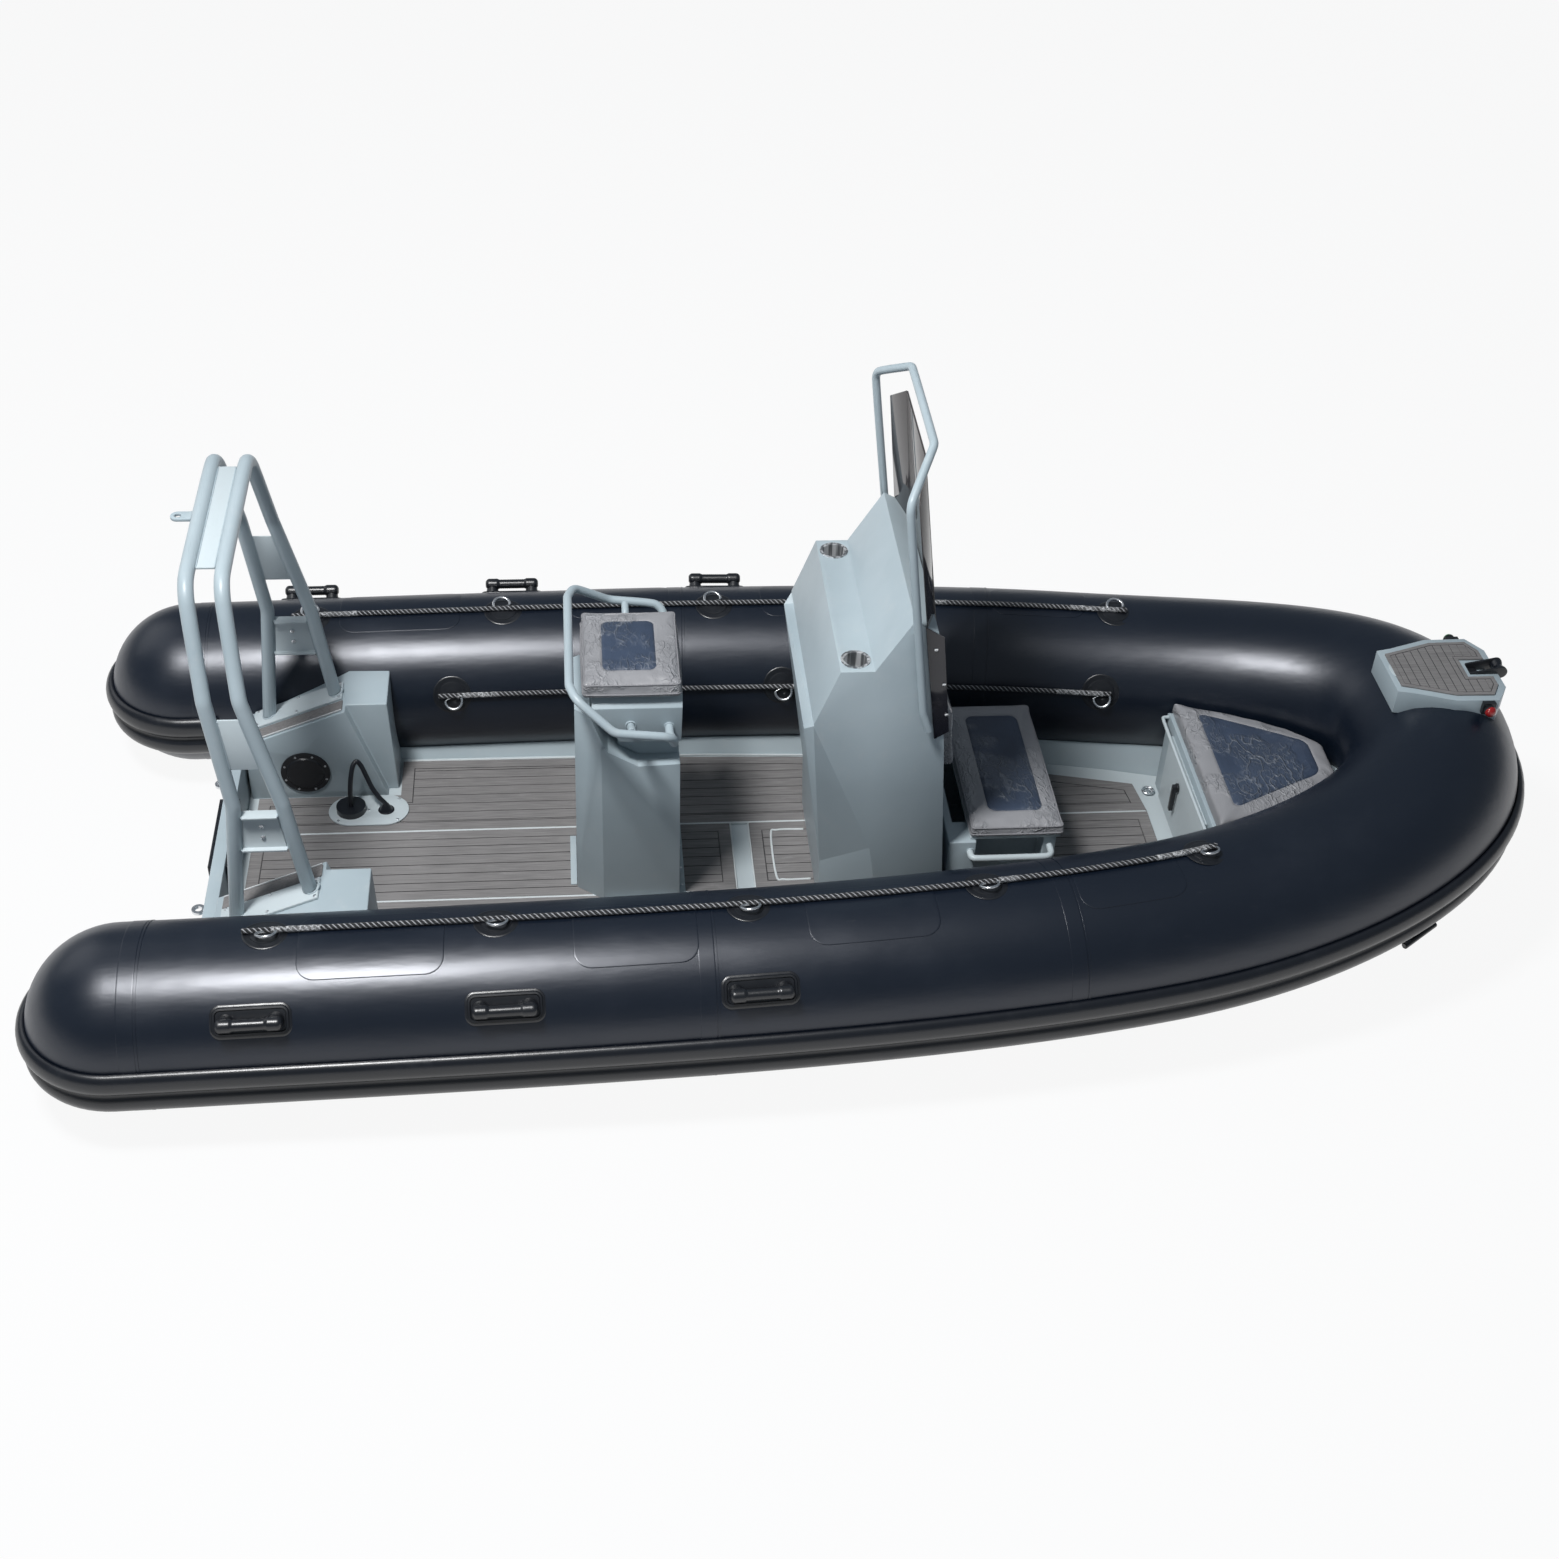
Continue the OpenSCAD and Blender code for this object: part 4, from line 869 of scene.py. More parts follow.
ringPatch = dict(wide=0.140, thick=0.0010, lift=0.0002,
                 steps=((0.0012, 0.0006), (0.004, 0.0008), (0.003, -0.0008), (0.012, 0.0), (0.0016, 0.0022),
                        (0.004, 0.0006), (0.012, -0.0010), (0.006, 0.0012), (0.010, 0.0006), (0.006, 0.0)))


def makeRingPatch():
    # round boss on a wide flat skirt
    bpy.ops.mesh.primitive_circle_add(vertices=48, radius=ringPatch["wide"] / 2, fill_type="NGON")
    patch = bpy.context.active_object
    raised(ringPatch["thick"], ringPatch["steps"])
    return patch


def wrapOnTube(piece, radius):
    # bends a flat model over a tube that runs along x
    for v in piece.data.vertices:
        x, y, z = v.co
        angle = y / radius
        v.co = (x, (radius + z) * math.sin(angle), (radius + z) * math.cos(angle) - radius)


ringWire = dict(wide=0.070, thick=0.0096, foot=-0.006, flatten=0.28, out=0.020, tilt=-16, lift=0.0095,
                lean=14)


def makeRingWire():
    # a D of bright wire that lies over beside the line, with its straight foot held down
    thick, wide, foot = ringWire["thick"] / 2, ringWire["wide"] / 2, ringWire["foot"]
    bpy.ops.mesh.primitive_torus_add(major_radius=wide - thick, minor_radius=thick, major_segments=40,
                                     minor_segments=12)
    wire = bpy.context.active_object
    for v in wire.data.vertices:
        v.co.y = v.co.y if v.co.y > foot else foot + (v.co.y - foot) * ringWire["flatten"]
        v.co.y += ringWire["out"]
    selectOnly(wire)
    bpy.ops.transform.rotate(value=math.radians(ringWire["tilt"]), orient_axis="X", center_override=(0, 0, 0))
    bpy.ops.transform.translate(value=(0, 0, ringWire["lift"]))
    settled()
    bpy.ops.object.shade_smooth()
    return wire


def makeLifelineGear():
    places = [(x, lines["ringAngle"], s) for x in lines["ringXs"] for s in (1, -1)]
    places += [(x, lines["innerAngle"], s) for x in lines["innerXs"] for s in (1, -1)]
    patch = makeRingPatch()
    wrapOnTube(patch, tube["radius"])
    smoothAt(patch, 40)
    spots = [onTubeFrame(x, a, ringPatch["lift"], s) for x, a, s in places]
    patches = placedCopies("ringPatches", patch, spots)
    finish(patches, gripRubber, rubberSlot, "lifeline_rings")
    # each ring hangs down its side of the tube, the outer ones outboard and the inner ones inboard
    leans = []
    for x, a, s in places:
        turn = ringWire["lean"] + (0 if (a < 120) == (s > 0) else 180)
        leans.append(onTubeFrame(x, a, 0, s) @ Matrix.Rotation(math.radians(turn), 4, "Z"))
    wires = placedCopies("ringWires", makeRingWire(), leans)
    finish(wires, brightSteel, steelSlot)


tape = dict(steps=14, radius=0.0100, ripple=0.0022)


def makeTape():
    # clear tape around the line beside each ring and at its ends
    made, count = [], tape["steps"]
    for xs, angle in ((lines["ringXs"], lines["ringAngle"]), (lines["innerXs"], lines["innerAngle"])):
        for side in (1, -1):
            for first, last in ((xs[0] + 0.02, xs[0] + 0.17), (xs[-2] + 0.04, xs[-2] + 0.11),
                                (xs[-1] - 0.17, xs[-1] + 0.01)):
                path, swell = [], []
                for k in range(count + 1):
                    path.append(onTube(first + (last - first) * k / count, angle, lines["lift"], side))
                    wander = noise.noise(Vector((first * 31 + k * 0.9, side, angle)))
                    swell.append(tape["radius"] + tape["ripple"] * wander)
                made.append(sweep("tape", path, lambda i: swell[i], tape["steps"]))
    finish(joined("lineTape", made), clearFilm, "rope")


handles = dict(xs=(0.430, 1.181, 1.948), angle=38, lift=0.0004, end=0.033, reach=0.088, half=0.019,
               thick=0.0022,
               steps=((0.002, 0.0014), (0.005, 0.0006), (0.0025, 0.0048), (0.006, 0.0006), (0.003, -0.0044),
                      (0.008, 0.0)),
               lugAt=0.074, lugRadius=0.0200, lugHeight=0.044, lugMiddle=0.026,
               grip=0.1980, gripRadius=0.0215, gripY=-0.006, gripZ=0.045, gripSteps=54, baseTop=0.012)


def makeHandle():
    # moulded base with round ends and raised rims, and a ribbed grip
    bpy.ops.mesh.primitive_circle_add(vertices=48, radius=handles["end"], fill_type="NGON")
    base = bpy.context.active_object
    for v in base.data.vertices:
        for i, out in ((0, handles["reach"]), (1, handles["half"])):
            v.co[i] += out if v.co[i] > 0.0001 else -out if v.co[i] < -0.0001 else 0
    raised(handles["thick"], handles["steps"])
    grip = []
    for middle in (handles["lugAt"], -handles["lugAt"]):
        place = (middle, 0, handles["lugMiddle"])
        bpy.ops.mesh.primitive_cylinder_add(vertices=24, radius=handles["lugRadius"],
                                            depth=handles["lugHeight"], location=place)
        lug = settled()
        for v in lug.data.vertices:
            wide = 1.25 if v.co.z < 0.02 else 0.95
            v.co.x = middle + (v.co.x - middle) * wide
            v.co.y *= wide
        grip.append(lug)
    length, steps = handles["grip"], handles["gripSteps"]
    path = [(-length / 2 + length * k / steps, handles["gripY"], handles["gripZ"]) for k in range(steps + 1)]

    def girth(i):
        # round ends and a ribbed middle
        ends = min(i, steps - i)
        full = handles["gripRadius"] * math.sqrt(max(0.0, 1 - max(0.0, (4 - ends) / 4.6) ** 2))
        return full - (0.0035 + 0.0009 * (i % 2) if 13 < i < 41 else 0.002 if i in (13, 41) else 0)

    grip.append(sweep("grip", path, girth, 20))
    return smoothAt(joined("handle", [base] + grip), 38)


def makeHandles():
    model = makeHandle()
    for v in model.data.vertices:
        if v.co.z < handles["baseTop"]:  # the base follows the tube
            r = tube["radius"]
            v.co.z = (r + v.co.z) * math.cos(v.co.y / r) - r
    places = [onTubeFrame(x, handles["angle"], handles["lift"], s) for x in handles["xs"] for s in (1, -1)]
    finish(placedCopies("grabHandles", model, places), gripRubber, rubberSlot, "grab_handles")
    moulded("bowHandles", "bow_handles", 40, gripRubber, rubberSlot)


makeCollar()
makeTubeTrim()
makeStrake()
for side, word in ((1, "Port"), (-1, "Starboard")):
    for start, xs, angle, tail, node in (
            ("outerLine", lines["ringXs"], lines["ringAngle"], lines["tails"][0], "lifelines_outer"),
            ("innerLine", lines["innerXs"], lines["innerAngle"], lines["tails"][1], "lifelines_inner")):
        makeRope(start + word, xs, angle, tail, side, node)
makeLifelineGear()
makeTape()
makeHandles()
print("tubes, strake, lifelines and handles made")


# ---- hull, deck and stern ----
fittings = dict(screwWide=0.0072, screwHigh=0.0028, screwTurn=37.0, weldStep=0.0022, weldPoints=60,
                roundPoints=40)
screwPlaces = []
weldBeads = []


def screwAt(point, up, both=True, scale=1.0):
    # notes a screw, and its twin on the other side
    turn = math.radians(fittings["screwTurn"] * len(screwPlaces))
    for side in ((1, -1) if both else (1,)):
        p = Vector(point) if side > 0 else mirrored(point)
        u = Vector(up) if side > 0 else mirrored(up)
        ahead = (1, 0, 0) if abs(u.normalized().x) < 0.9 else (0, 0, 1)
        place = standing(p, u, ahead) @ Matrix.Rotation(turn, 4, "Z") @ Matrix.Scale(scale, 4)
        screwPlaces.append(place)


def weldAlong(points, radius=0.0032, both=True):
    # notes a rippled weld bead, and its twin
    count = fittings["weldPoints"]
    if len(points) > 2:
        line = rounds(points, fittings["weldStep"])
    else:
        line = [Vector(points[0]).lerp(Vector(points[1]), k / count) for k in range(count + 1)]
    ends = (0, len(line) - 1)
    ripple = [radius * (0.5 if i in ends else 0.9 + 0.13 * (i % 2)) for i in range(len(line))]
    for side in ((1, -1) if both else (1,)):
        path = [p if side > 0 else mirrored(p) for p in line]
        weldBeads.append(sweep("weld", path, lambda i: ripple[i], 8))


def weldRound(centre, axis, radius, bead=0.003, both=True):
    # a bead around a bar that meets a plate
    m = standing(centre, axis, (1, 0, 0) if abs(Vector(axis).normalized().x) < 0.9 else (0, 0, 1))
    count = fittings["roundPoints"]
    turns = [k * math.tau / count for k in range(count + 1)]
    weldAlong([m @ Vector((radius * math.cos(t), radius * math.sin(t), 0)) for t in turns], bead, both)


def makeScrew():
    # pan head with a hexagon socket
    wide, high = fittings["screwWide"], fittings["screwHigh"]
    bpy.ops.mesh.primitive_cylinder_add(vertices=18, radius=wide, depth=high, location=(0, 0, high / 2))
    screw = settled()
    editMode()
    bpy.ops.mesh.select_mode(type="FACE")
    bpy.ops.mesh.select_all(action="DESELECT")
    editMode(False)
    for face in screw.data.polygons:
        face.select = face.normal.z > 0.9
    editMode()
    insets(((wide * 0.22, high * 0.35), (wide * 0.3, 0), (wide * 0.02, -high * 0.75)))
    editMode(False)
    return smoothAt(screw, 40)


plated = dict(hull=0.004, transom=0.004, pads=0.002, deckPanel=0.002, lockers=0.004)


def makeHull():
    dressed("hullShell", "hull", plated["hull"], 2, 30)
    dressed("transomWall", "transom", plated["transom"])
    dressed("enginePads", "engine_pads", plated["pads"], material=blackRubber, slot=rubberSlot)
    dressed("deckPlate", "deck_panel", plated["deckPanel"], 1, material=plateMetal)
    # bolts through the engine pads
    for z in (0.245, 0.185):
        for y in (0.125, 0.05):
            screwAt((0.2372, y, z), (1, 0, 0), True, 1.15)
            screwAt((0.1678, y, z), (-1, 0, 0), True, 1.15)


mats = dict(
    deck=dict(pitch=0.048, border=0.042, groove=0.0032, depth=0.0032),
    step=dict(pitch=0.030, border=0.014, groove=0.0024, depth=0.0022),
    lockerPadInner=0.429, lockerPadShift=0.0045)


def selectFaces(piece, test):
    bpy.ops.mesh.select_all(action="DESELECT")
    editMode(False)
    for face in piece.data.polygons:
        face.select = test(face)
    editMode()


def plankMats(pieceName, node, sizes, row):
    # cuts grooves between the planks of each mat, inside a border plank; row is the axis across them
    pitch, border, groove, depth = (sizes[k] for k in ("pitch", "border", "groove", "depth"))
    piece = copyOf(pieceName, node)
    mesh = piece.data
    for material in (deckFoam, caulk, deckFoam):
        mesh.materials.append(material)
    top = max(v.co.z for v in mesh.vertices)
    low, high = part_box(node)
    editMode()
    bpy.ops.mesh.select_mode(type="FACE")
    selectFaces(piece, lambda f: f.normal.z > 0.7)
    bpy.ops.mesh.inset(thickness=border, depth=0, use_boundary=True)
    bpy.ops.mesh.inset(thickness=groove, depth=0, use_boundary=True)
    editMode(False)
    for f in mesh.polygons:  # what the second inset made is the groove around the middle
        f.material_index = 2 if f.select else f.material_index
    inner = [f for f in mesh.polygons if f.material_index == 2]
    innerEdges = {k for f in inner for k in f.edge_keys}
    for f in mesh.polygons:
        if f.material_index == 0 and f.normal.z > 0.7 and any(k in innerEdges for k in f.edge_keys):
            f.material_index = 1
    rows, k = [], math.ceil(low[row] / pitch)
    while k * pitch < high[row]:
        rows.append(k * pitch)
        k += 1
    normal = (0, 1, 0) if row == 1 else (1, 0, 0)
    editMode()
    for r in rows:
        for edge in (r - groove / 2, r + groove / 2):
            selectFaces(piece, lambda f: f.material_index == 2)
            point = (0, edge, 0) if row == 1 else (edge, 0, 0)
            bpy.ops.mesh.bisect(plane_co=point, plane_no=normal)
    editMode(False)
    for f in mesh.polygons:
        if f.material_index == 2:
            inGroove = any(abs(f.center[row] - r) < groove * 0.45 for r in rows)
            f.material_index = 1 if inGroove else 0
    editMode()
    selectFaces(piece, lambda f: f.material_index == 1)
    bpy.ops.mesh.extrude_region_move(TRANSFORM_OT_translate={"value": (0, 0, -depth)})
    editMode(False)
    modify(piece, "BEVEL", width=0.0007, segments=1, limit_method="ANGLE", angle_limit=math.radians(60))
    for f in mesh.polygons:  # the grooves' walls
        if top - depth < f.center.z < top - depth * 0.35 and abs(f.normal.z) < 0.5 and f.material_index == 0:
            f.material_index = 1
    finish(piece, None, "deck_foam", node)


def makeMats():
    plankMats("deckMats", "deck_mats", mats["deck"], 1)
    plankMats("bowStepPad", "bow_step_pad", mats["step"], 0)
    pads = bevelled(copyOf("lockerPads", "locker_pads"), 0.0012, 2)
    inner, shift = mats["lockerPadInner"], mats["lockerPadShift"]
    for v in pads.data.vertices:  # the foam strip stands inside its pale edging
        v.co.y += shift if 0 < v.co.y < inner else -shift if -inner < v.co.y < 0 else 0
    finish(pads, deckFoam, "deck_foam", "locker_pads")


def flatBar(start, end, wide, high, up=(0, 0, 1)):
    # flat strip between two points, lying on a surface with its normal up
    start, end = Vector(start), Vector(end)
    run = end - start
    bpy.ops.mesh.primitive_cube_add(size=1)
    bar = bpy.context.active_object
    for v in bar.data.vertices:
        v.co = ((v.co.x + 0.5) * run.length, v.co.y * wide, (v.co.z + 0.5) * high)
    bar.data.transform(standing(start, up, run))
    return bevelled(bar, min(wide, high) * 0.3, 2)


# sides: start, end, width and height over the mats, of the long strips and the mats' outer rims
deckTrim = dict(
    sides=(((0.262, 0.185), (3.512, 0.185), 0.0085, 0.0006), ((0.80, 0.5905), (1.9, 0.5875), 0.006, 0.001),
           ((1.9, 0.5875), (2.72, 0.5505), 0.006, 0.001)),
    acrossXs=(1.9615, 2.0265), acrossHalf=0.179, acrossWide=0.0055, acrossOver=0.0006,
    hatch=((2.225, 0.135), (2.13, 0.135), (2.105, 0.11), (2.105, -0.11), (2.13, -0.135), (2.225, -0.135)),
    hatchRadius=0.0042,
    edgingStart=(0.2600, 0.3665), edgingEnd=(0.5885, 0.4980), edgingY=0.4125, edgingWide=0.006,
    edgingHigh=0.0052)


def makeDeckTrim():
    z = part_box("deck_mats")[1].z
    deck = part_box("deck_panel")[1].z
    strips = []
    for s in (1, -1):
        for (x0, y0), (x1, y1), wide, over in deckTrim["sides"]:
            strips.append(flatBar((x0, s * y0, deck), (x1, s * y1, deck), wide, z - deck + over))
    half = deckTrim["acrossHalf"]
    for x in deckTrim["acrossXs"]:
        strips.append(flatBar((x, -half, deck), (x, half, deck), deckTrim["acrossWide"],
                              z - deck + deckTrim["acrossOver"]))
    # frame of the small hatch ahead of the crosswise strips
    path = rounds([(x, y, z) for x, y in deckTrim["hatch"]], 0.006)
    strips.append(sweep("strip", path, deckTrim["hatchRadius"], 8))
    finish(joined("deckStrips", strips), stripMetal, metalSlot)
    # pale edging beside the foam strips on the lockers
    made = []
    (x0, z0), (x1, z1) = deckTrim["edgingStart"], deckTrim["edgingEnd"]
    for s in (1, -1):
        a = Vector((x0, s * deckTrim["edgingY"], z0))
        b = Vector((x1, s * deckTrim["edgingY"], z1))
        up = (b - a).cross(Vector((0, 1, 0)))
        up = up if up.z > 0 else -up
        made.append(flatBar(a, b, deckTrim["edgingWide"], deckTrim["edgingHigh"], up))
    finish(joined("lockerEdging", made), edging, "deck_foam")


# the stern lockers' sloping tops, and the screws on them and around the fittings beside them
stern = dict(topNormal=(-0.3976, 0, 1), topHeight=0.355, topSlope=0.39726, padXs=(0.275, 0.42, 0.575),
             padYs=(0.488, 0.568), plateAt=(0.438, 0.3930, 0.232), plateRadius=0.078,
             glandScrews=((0.555, 0.245), (0.555, 0.361), (0.765, 0.245), (0.765, 0.361), (0.66, 0.303)),
             glandTop=0.1263)


def lockerTop(x, start, over):
    return stern["topHeight"] + stern["topSlope"] * (x - start) + over


def makeStern():
    for node, word in (("stern_locker_port", "Port"), ("stern_locker_starboard", "Starboard")):
        dressed("sternLocker" + word, node, plated["lockers"], 3)
    dressed("archFeet", "arch_feet", 0.0025, material=plateMetal)
    moulded("inspectionPlates", "inspection_plates", 30, blackPlastic, plasticSlot)
    dressed("riggingPlate", "rigging_plate", 0.0015, material=plateMetal)
    (px, py, pz), reach = stern["plateAt"], stern["plateRadius"]
    for k in range(8):  # screws around each inspection plate
        a = math.radians(k * 45 + 22.5)
        screwAt((px + reach * math.cos(a), py, pz + reach * math.sin(a)), (0, -1, 0), True, 0.62)
    slope = Vector(stern["topNormal"]).normalized()
    for x in stern["padXs"]:
        for y in stern["padYs"]:
            screwAt((x, y, lockerTop(x, 0.235, 0.01077)), slope, True, 0.8)
    for x, y in stern["glandScrews"]:
        screwAt((x, y, stern["glandTop"]), (0, 0, 1), False, 0.7)


# ---- arch ----
# seams: how far the legs' facing sides are from their middles; plates: spans of height; steps: heights
arch = dict(radius=0.024, aftFoot=(0.313, 0.530), fwdFoot=(0.560, 0.526), topZ=1.562, topXs=(0.3138, 0.3682),
            topHalf=0.288, eyeX=0.2647, eyeHalf=0.022, eyeZs=(1.5575, 1.5665),
            seams=(("aft", 0.0235), ("fwd", -0.0235)), plates=((0.987, 1.163), (0.681, 0.803)),
            steps=(0.676, 0.808), stepHalf=0.017, boltZs=(0.722, 0.764),
            legs=dict(aft=((0.313, 0.530, 0.366), (0.360, 0.530, 0.850), (0.317, 0.505, 1.230)),
                      fwd=((0.560, 0.526, 0.464), (0.508, 0.526, 0.850), (0.421, 0.505, 1.230))))


def legPoint(side, height, reach):
    # a point at a height on an arch leg, moved along x
    p, q, r = arch["legs"][side]
    a, b = (p, q) if height < q[2] else (q, r)
    share = (height - a[2]) / (b[2] - a[2])
    return Vector((a[0] + (b[0] - a[0]) * share + reach, a[1] + (b[1] - a[1]) * share, height))


def makeArch():
    for node, name in (("arch_aft_hoop", "archAftHoop"), ("arch_forward_hoop", "archForwardHoop")):
        moulded(name, node, 46)
    dressed("archPlates", "arch_plates", 0.0014, material=plateMetal)
    dressed("archTowEye", "arch_tow_eye", 0.002, 2, 40)
    # beads where the legs meet their feet
    slope = Vector(stern["topNormal"]).normalized()
    for x, y in (arch["aftFoot"], arch["fwdFoot"]):
        weldRound((x + 0.003, y, lockerTop(x, 0.232, 0.0118)), slope, arch["radius"] + 0.001)
    # along the top plate and the tow eye, and where the side plates and steps join the legs
    half = arch["topHalf"]
    for x in arch["topXs"]:
        for z in (arch["topZ"] + 0.0032, arch["topZ"] - 0.0032):
            weldAlong([(x, -half, z), (x, half, z)], 0.0024, False)
    x, half = arch["eyeX"], arch["eyeHalf"]
    for z in arch["eyeZs"]:
        weldAlong([(x, -half, z), (x, half, z)], 0.0022, False)
    across = Vector((0.0, arch["stepHalf"], 0))
    for side, reach in arch["seams"]:
        for shift in (Vector((0, 0.0035, 0)), Vector((0, -0.0035, 0))):
            for heights in arch["plates"]:
                weldAlong([legPoint(side, z, reach) + shift for z in heights], 0.0022)
        for z in arch["steps"]:
            p = legPoint(side, z + 0.003, reach)
            weldAlong([p - across, p + across], 0.0024)
    # two bolts through each step's web
    for z in arch["boltZs"]:
        m = (legPoint("aft", z, 0) + legPoint("fwd", z, 0)) / 2
        for away in (-1, 1):
            screwAt((m.x, m.y + away * 0.003, z), (0, away, 0))


hose = dict(wide=0.018, footX=0.598, farX=0.722, y=0.303, deck=0.1203,
            boot=0.028, bootHigh=0.006, bootZ=0.1237,
            over=((0.598, 0.303, 0.160), (0.600, 0.310, 0.210), (0.606, 0.322, 0.262), (0.615, 0.340, 0.300),
                  (0.628, 0.352, 0.312), (0.642, 0.350, 0.296), (0.658, 0.338, 0.260), (0.676, 0.324, 0.215),
                  (0.700, 0.310, 0.178), (0.722, 0.303, 0.150)))


def makeHose():
    ends = [(x, hose["y"], hose["deck"]) for x in (hose["footX"], hose["farX"])]
    path = rounds([ends[0], *hose["over"], ends[1]], 0.0016)
    wide = hose["wide"] / 2
    piece = sweep("riggingHose", path, lambda i: wide * (1.0 if i % 3 else 0.9), 18, (0, 1, 0))
    finish(piece, blackRubber, rubberSlot, "rigging_hose")
    length = sum((b - a).length for a, b in zip(path, path[1:]))
    [tuple(p) for p in path[:-1:4] + [path[-1]]]
    # rubber boots where it goes through the plate
    boots = []
    for x in (hose["footX"], hose["farX"]):
        bpy.ops.mesh.primitive_cylinder_add(vertices=36, radius=hose["boot"], depth=hose["bootHigh"],
                                            location=(x, hose["y"], hose["bootZ"]))
        boot = settled()
        for f in boot.data.polygons:
            f.select = f.normal.z > 0.9
        editMode()
        bpy.ops.mesh.select_mode(type="FACE")
        insets([(0.004, 0.0012)] + [(0.0035, 0.0045), (0.0006, 0.003)] * 3)
        editMode(False)
        boots.append(smoothAt(boot, 35))
    finish(joined("hoseBoots", boots), blackRubber, rubberSlot)


makeHull()
makeMats()
makeDeckTrim()
makeStern()
makeArch()
makeHose()
moulded("sternEyes", "stern_eyes", 30, brightSteel, steelSlot)
print("hull, deck, stern and arch made")


# ---- leaning post, console and seats ----
post = dict(edge=0.005, railEnds=((1.717, 0.2105, 0.872), (1.592, 0.2105, 0.880)),
            flangeZ=0.1202, flangeWide=0.022, flangeHigh=0.004, sideFrom=1.50, sideTo=1.757, sideY=0.222,
            endPlates=((1.769, 0.2), (1.393, 0.13)), screwZ=0.1242, sideScrews=(1.54, 1.63, 1.72),
            endScrews=(0.06, 0.15))


def makeLeaningPost():
    dressed("leaningPost", "leaning_post", post["edge"], 3, 12)
    dressed("leaningPostHead", "leaning_post_head", post["edge"], 3, 12)
    moulded("leaningPostRail", "leaning_post_rail")
    # round plates and beads where the rail's ends meet the head
    for p in post["railEnds"]:
        weldRound(p, (0, 1, 0), 0.0158, 0.0026)
    # fixing flange around the post's foot
    z, y = post["flangeZ"], post["sideY"]
    spans = [((post["sideFrom"], s * y, z), (post["sideTo"], s * y, z)) for s in (1, -1)]
    spans += [((x, -half, z), (x, half, z)) for x, half in post["endPlates"]]
    flange = [flatBar(a, b, post["flangeWide"], post["flangeHigh"]) for a, b in spans]
    finish(joined("postFlange", flange), satinPaint, metalSlot)
    for x in post["sideScrews"]:
        screwAt((x, 0.2235, post["screwZ"]), (0, 0, 1), True, 0.6)
    for y in post["endScrews"]:
        screwAt((1.770, y, post["screwZ"]), (0, 0, 1), True, 0.6)


console = dict(edge=0.005, paneEdge=0.0016, boltY=0.3862, lugY=0.3812,
               bolts=((2.535, 1.285), (2.572, 1.15), (2.590, 1.03)), lugs=((2.500, 1.135), (2.470, 1.345)))


def makeConsole():
    dressed("consoleBody", "console", console["edge"], 3, 9)
    moulded("cupHolders", "cup_holders", 40, cupSteel, steelSlot)
    moulded("windshieldFrame", "windshield_frame")
    dressed("windshieldPanes", "windshield", console["paneEdge"], 2, 30, smokedAcrylic, "smoked_acrylic")
    # bolts that hold the panes' tails and the frame's lugs
    for x, z in console["bolts"]:
        screwAt((x, console["boltY"], z), (0, 1, 0), True, 0.85)
    for x, z in console["lugs"]:
        weldRound((x, console["lugY"], z), (0, 1, 0), 0.0092, 0.0022)


def makeSeatBoxes():
    dressed("frontSeatBox", "front_seat_box", 0.004, 3)
    dressed("frontSeatLid", "front_seat_lid", 0.0025, material=plateMetal, body="front_seat_lid")
    moulded("frontSeatHandles", "front_seat_handles", material=plateMetal)
    weldRound((2.734, 0.3505, 0.4157), (0, 1, 0), 0.0128, 0.0022)


blankPlate = dict(radius=0.020, thick=0.003, long=1.7, at=(4.2395, 0, 0.8801), aft=4.2195,
                  shiftTo=4.2155, narrow=0.42)
scupper = dict(at=(3.545, 0.30), ringZ=0.1222, drainZ=0.1212, ring=0.021, wire=0.0042, drain=0.0195)


